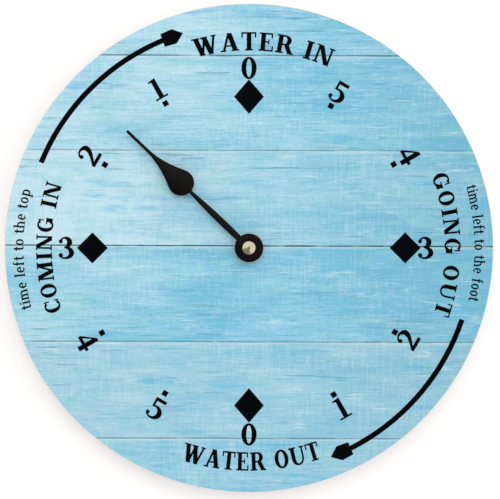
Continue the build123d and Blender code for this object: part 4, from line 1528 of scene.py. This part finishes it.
@dataclass
class Battery:
    """AA cell: a sleeve shrunk over the can, a rolled shoulder, a sunk end and a contact button."""

    sleeve_lip: float = 1.1 * MM
    sleeve_round: float = 0.55 * MM
    sink: float = 0.35 * MM
    button_radius: float = 2.75 * MM
    button_round: float = 0.25 * MM
    base_radius: float = 5.6 * MM
    base_rise: float = 0.2 * MM
    button_height: float = 1.0 * MM
    base_steps: tuple[float, float, float] = (0.5, 1.5, 1.2)
    lip_share: float = 0.9

    def build(self) -> Object:
        """Turn the cell along X, with its button towards the positive contact.

        Returns:
            The piece.
        """
        low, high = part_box("battery")
        radius = (high.z - low.z) / 2
        length = high.x - low.x
        body = length - self.button_height
        inner = radius - self.sleeve_lip
        mid_round = self.sleeve_round * MID_ROUND
        first, second, third = (self.base_rise * step for step in self.base_steps)
        stations = [
            (self.base_radius, first),
            (self.base_radius + self.base_rise, second),
            (inner, third),
            (inner + self.sleeve_round, self.base_rise),
            (radius - mid_round, self.base_rise + mid_round),
            (radius, self.base_rise + self.sleeve_round),
            (radius, body - self.sleeve_round),
            (radius - mid_round, body - mid_round),
            (radius - self.sleeve_round, body),
            (inner, body),
            (inner - self.sink * 0.5, body - self.sink),
            (self.button_radius + self.button_round, body - self.sink),
            (self.button_radius, body - self.sink + self.button_round),
            (self.button_radius, length - self.button_round),
            (self.button_radius - self.button_round, length),
        ]
        cell = turned("battery_cell", self.base_radius - self.base_rise, stations)
        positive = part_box("battery_contact_positive")[0].x
        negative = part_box("battery_contact_negative")[0].x
        sense = 1 if positive > negative else -1
        middle = (low + high) / 2
        cell.rotation_euler = (0, 0, sense * math.pi / 2)
        cell.location = (middle.x - sense * length / 2, middle.y, middle.z)
        settle(cell)
        smooth(cell, 40)
        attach(cell, "battery")
        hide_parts("battery")
        return cell

    def dress(self, cell: Object, sleeve: Material, metal: Material) -> None:
        """Give the cell its sleeve, and bare metal at both ends.

        Args:
            cell: The piece.
            sleeve: Material of the sleeve.
            metal: Material of the ends.
        """
        cell.data.materials.append(sleeve)
        cell.data.materials.append(metal)
        low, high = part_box("battery")
        middle = (low + high) / 2
        radius = (high.z - low.z) / 2
        edit(cell, "FACE")

        def at_end(places: list[Vector]) -> bool:
            """Whether a face lies inside the sleeve's lip, or on the button."""
            reaches = [math.hypot(place.y - middle.y, place.z - middle.z) for place in places]
            return max(reaches) < radius - self.sleeve_lip * self.lip_share

        select_where(cell, "FACE", at_end)
        cell.active_material_index = 1
        bpy.ops.object.material_slot_assign()
        leave_edit()


# Studio


def shown_rays(tree: bpy.types.NodeTree) -> Socket:
    """Tell camera, glossy and transmission rays from all others.

    Args:
        tree: The tree that gets the nodes.

    Returns:
        A value that is 1 for those rays and 0 for others.
    """
    path = tree.nodes.new("ShaderNodeLightPath")
    shown = path.outputs["Is Camera Ray"]
    for kind in ("Is Glossy Ray", "Is Transmission Ray"):
        most = tree.nodes.new("ShaderNodeMath")
        most.operation = "MAXIMUM"
        tree.links.new(shown, most.inputs[0])
        tree.links.new(path.outputs[kind], most.inputs[1])
        shown = most.outputs[0]
    return shown


@dataclass(frozen=True)
class Lamp:
    """Square soft lamp that faces the clock, its measures in metres and watts."""

    name: str
    place: tuple[float, float, float]
    size: float
    power: float

    def build(self) -> None:
        """Hang the lamp."""
        data = bpy.data.lights.new(self.name, "AREA")
        data.size = self.size
        data.energy = self.power
        lamp = bpy.data.objects.new(self.name, data)
        lamp.location = self.place
        lamp.rotation_mode = "QUATERNION"
        lamp.rotation_quaternion = (-Vector(self.place)).to_track_quat("-Z", "Y")
        bpy.context.scene.collection.objects.link(lamp)


@dataclass
class Studio:
    """White wall and pale floor, soft lamps, and the camera straight in front of the dial.

    Each white is the strength of its glow for the camera and its own grey.
    """

    pixel: float = 0.5450 * MM
    frame_pixels: int = 500
    lens: float = 85.0
    sensor: float = 36.0
    camera_x: float = 0.55 * MM
    camera_z: float = -0.87 * MM
    floor_drop: float = 0.20
    reach: float = 2.4
    wall_gap: float = 0.3 * MM
    world_light: float = 0.64
    wall_white: tuple[float, float] = (0.19, 0.90)
    floor_white: tuple[float, float] = (0.45, 0.80)
    cloud: float = 0.99
    lamps: tuple[Lamp, ...] = (
        Lamp("key", (-0.1, -1.8, 0.62), 0.8, 8.5),
        Lamp("fill", (0.9, -1.8, 0.1), 1.6, 8),
        Lamp("rear", (0.9, 1.6, 1.1), 1.2, 20),
    )

    def stage_material(self, name: str, glow: float, colour: float) -> Material:
        """Matt white with the object's soft shadow on it, which hides nothing when seen from behind.

        Args:
            name: The material's name.
            glow: Strength of the white added to camera rays.
            colour: Grey level of the matt white.

        Returns:
            The material.
        """
        s = Shader(name)
        s.tree.nodes.remove(s.surface)
        matt = s.node("ShaderNodeBsdfDiffuse")
        cloud = s.noise(s.place(), 3, 2)
        first, second = ((level, level, level, 1.0) for level in (colour, colour * self.cloud))
        s.feed(matt.inputs["Color"], s.mix(cloud, first, second))
        light = s.node("ShaderNodeEmission")
        s.feed(light.inputs["Strength"], s.times(shown_rays(s.tree), glow))
        both = s.fed(s.node("ShaderNodeAddShader"), (matt.outputs[0], light.outputs[0]))
        clear = s.node("ShaderNodeBsdfTransparent").outputs[0]
        front = s.math("SUBTRACT", 1.0, s.node("ShaderNodeNewGeometry").outputs["Backfacing"])
        share = s.times(s.node("ShaderNodeLightPath").outputs["Is Camera Ray"], front)
        surface = s.fed(s.node("ShaderNodeMixShader"), (share, clear, both))
        s.feed(s.output.inputs["Surface"], surface)
        return s.material

    def plane(self, name: str, location: tuple[float, ...], turn: float, material: Material) -> None:
        """Add a large flat stage piece.

        Args:
            name: Its name.
            location: Its middle.
            turn: Its turn about X.
            material: Its material.
        """
        bpy.ops.object.select_all(action="DESELECT")
        bpy.ops.mesh.primitive_plane_add(size=self.reach, location=location, rotation=(turn, 0, 0))
        made = bpy.context.view_layer.objects.active
        made.name = name
        made.data.materials.append(material)

    def build(self) -> None:
        """Set up the stage, the light and the camera."""
        scene = bpy.context.scene
        scene.view_settings.view_transform = "Standard"
        wall_middle = (0, self.wall_gap, self.reach / 2 - self.floor_drop)
        wall = self.stage_material("wall_white", *self.wall_white)
        floor = self.stage_material("floor_white", *self.floor_white)
        self.plane("studio_wall", wall_middle, math.pi / 2, wall)
        self.plane("studio_floor", (0, 0, -self.floor_drop), 0, floor)
        world = bpy.data.worlds.new("studio")
        scene.world = world
        world.use_nodes = True
        tree = world.node_tree
        background = tree.nodes["Background"]
        strength = tree.nodes.new("ShaderNodeMapRange")
        tree.links.new(shown_rays(tree), strength.inputs["Value"])
        strength.inputs["To Min"].default_value = self.world_light
        strength.inputs["To Max"].default_value = 1.0
        tree.links.new(strength.outputs[0], background.inputs["Strength"])
        background.inputs["Color"].default_value = (1, 1, 1, 1)
        for lamp in self.lamps:
            lamp.build()
        data = bpy.data.cameras.new("camera")
        data.lens = self.lens
        data.sensor_width = self.sensor
        camera = bpy.data.objects.new("camera", data)
        _, print_front = depth_range("printed_face")
        distance = self.pixel * self.frame_pixels * self.lens / self.sensor
        camera.location = (self.camera_x, -print_front - distance, self.camera_z)
        camera.rotation_euler = (math.pi / 2, 0, 0)
        scene.collection.objects.link(camera)
        scene.camera = camera


# Assembly


def node_finishes() -> dict[str, Material]:
    """Material of each CAD node.

    Returns:
        The materials by node.
    """
    brass = (rgb(206, 170, 104), rgb(166, 128, 70))
    case = (rgb(27, 27, 29), rgb(33, 33, 36))
    wheel = (rgb(226, 222, 210), rgb(216, 211, 197))
    knob = (rgb(206, 202, 190), rgb(196, 191, 178))
    nylon = (rgb(228, 226, 216), rgb(218, 214, 200))
    nickel = (rgb(205, 203, 198), rgb(176, 173, 166))
    can = (rgb(208, 210, 214), rgb(182, 184, 188))
    finishes = {
        "dial_board": BoardPaint(),
        "printed_face": PlankPrint(),
        "dial_numerals dial_diamonds dial_squares tide_arrows": Ink(),
        "movement_case hanging_tab front_cover": Moulded("case_plastic", *case, 0.46, 0.016, 2600),
        "threaded_bush": Turned("threaded_brass", *brass, thread_pitch=0.75 * MM),
        "brass_washer hex_nut": Turned("brass_turned", *brass),
        "rubber_washer": Moulded("washer_rubber", rgb(24, 24, 25), rgb(33, 33, 34), 0.78, 0.03, 1800),
        "tide_hand hand_bush": HandPaint(),
        "cap_nut": NutMetal(),
        "hour_wheel minute_wheel centre_wheel third_wheel seconds_wheel fifth_wheel rotor_pinion": Moulded(
            "wheel_plastic", *wheel, 0.34, 0.004, 5200, 0.08
        ),
        "minute_arbor": Turned("arbor_steel", rgb(196, 197, 200), rgb(150, 152, 156)),
        "set_knob": Moulded("knob_plastic", *knob, 0.36, 0.008, 3600, 0.04),
        "train_plate": Moulded("plate_plastic", rgb(62, 64, 68), rgb(72, 74, 78), 0.42, 0.012, 3000),
        "rotor_magnet": Moulded("magnet_ferrite", rgb(52, 52, 56), rgb(66, 66, 70), 0.5, 0.02, 2400),
        "stator coil_core": Sheet("soft_iron", rgb(168, 170, 174), rgb(126, 128, 134)),
        "coil_bobbin": Moulded("bobbin_nylon", *nylon, 0.38, 0.006, 4200, 0.06),
        "coil_winding": Winding(),
        "circuit_board": Laminate(),
        "driver_chip": Moulded("chip_resin", rgb(20, 20, 22), rgb(30, 30, 32), 0.28, 0.01, 1500),
        "crystal_can": Sheet("crystal_can_metal", *can, (0.1, 1, 1), 0.2),
        "battery_contact_positive battery_contact_negative": Sheet(
            "nickel_plate", *nickel, (1.0, 1.0, 0.08), 0.2
        ),
        "battery": CellSleeve(),
    }
    made = {}
    for nodes, finish in finishes.items():
        made.update(dict.fromkeys(nodes.split(), finish.material()))
    return made


def dress(obj: Object, material: Material) -> None:
    """Put one material in all the slots of an object.

    Args:
        obj: The object.
        material: The material.
    """
    if not obj.data.materials:
        obj.data.materials.append(material)
    for slot in obj.material_slots:
        slot.material = material


def main() -> None:
    """Build the pieces, dress them and the CAD nodes, and set up the studio."""
    logging.basicConfig(level=logging.INFO)
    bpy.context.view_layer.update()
    Studio().build()
    finishes = node_finishes()
    for node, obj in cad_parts.items():
        dress(obj, finishes[node])
    back, front = depth_range("dial_numerals")
    lettering = DialLettering(front - back, back)
    battery = Battery()
    pieces = [
        *((lettering.place(legend), "dial_numerals") for legend in LEGENDS),
        *((piece, "tide_hand") for piece in Hand().build()),
        (CapNut().build(), "cap_nut"),
        (FixingNut().build(), "hex_nut"),
        *((piece, "movement_case") for piece in MovementShell().build()),
        (SettingKnob().build(), "set_knob"),
    ]
    for piece, finish in pieces:
        dress(piece, finishes[finish])
    cell = battery.build()
    battery.dress(cell, finishes["battery"], finishes["battery_contact_positive"])
    for piece in (*(piece for piece, _ in pieces), cell):
        log.info("piece %s: %d faces", piece.name, len(piece.data.polygons))


if __name__ == "__main__":
    main()
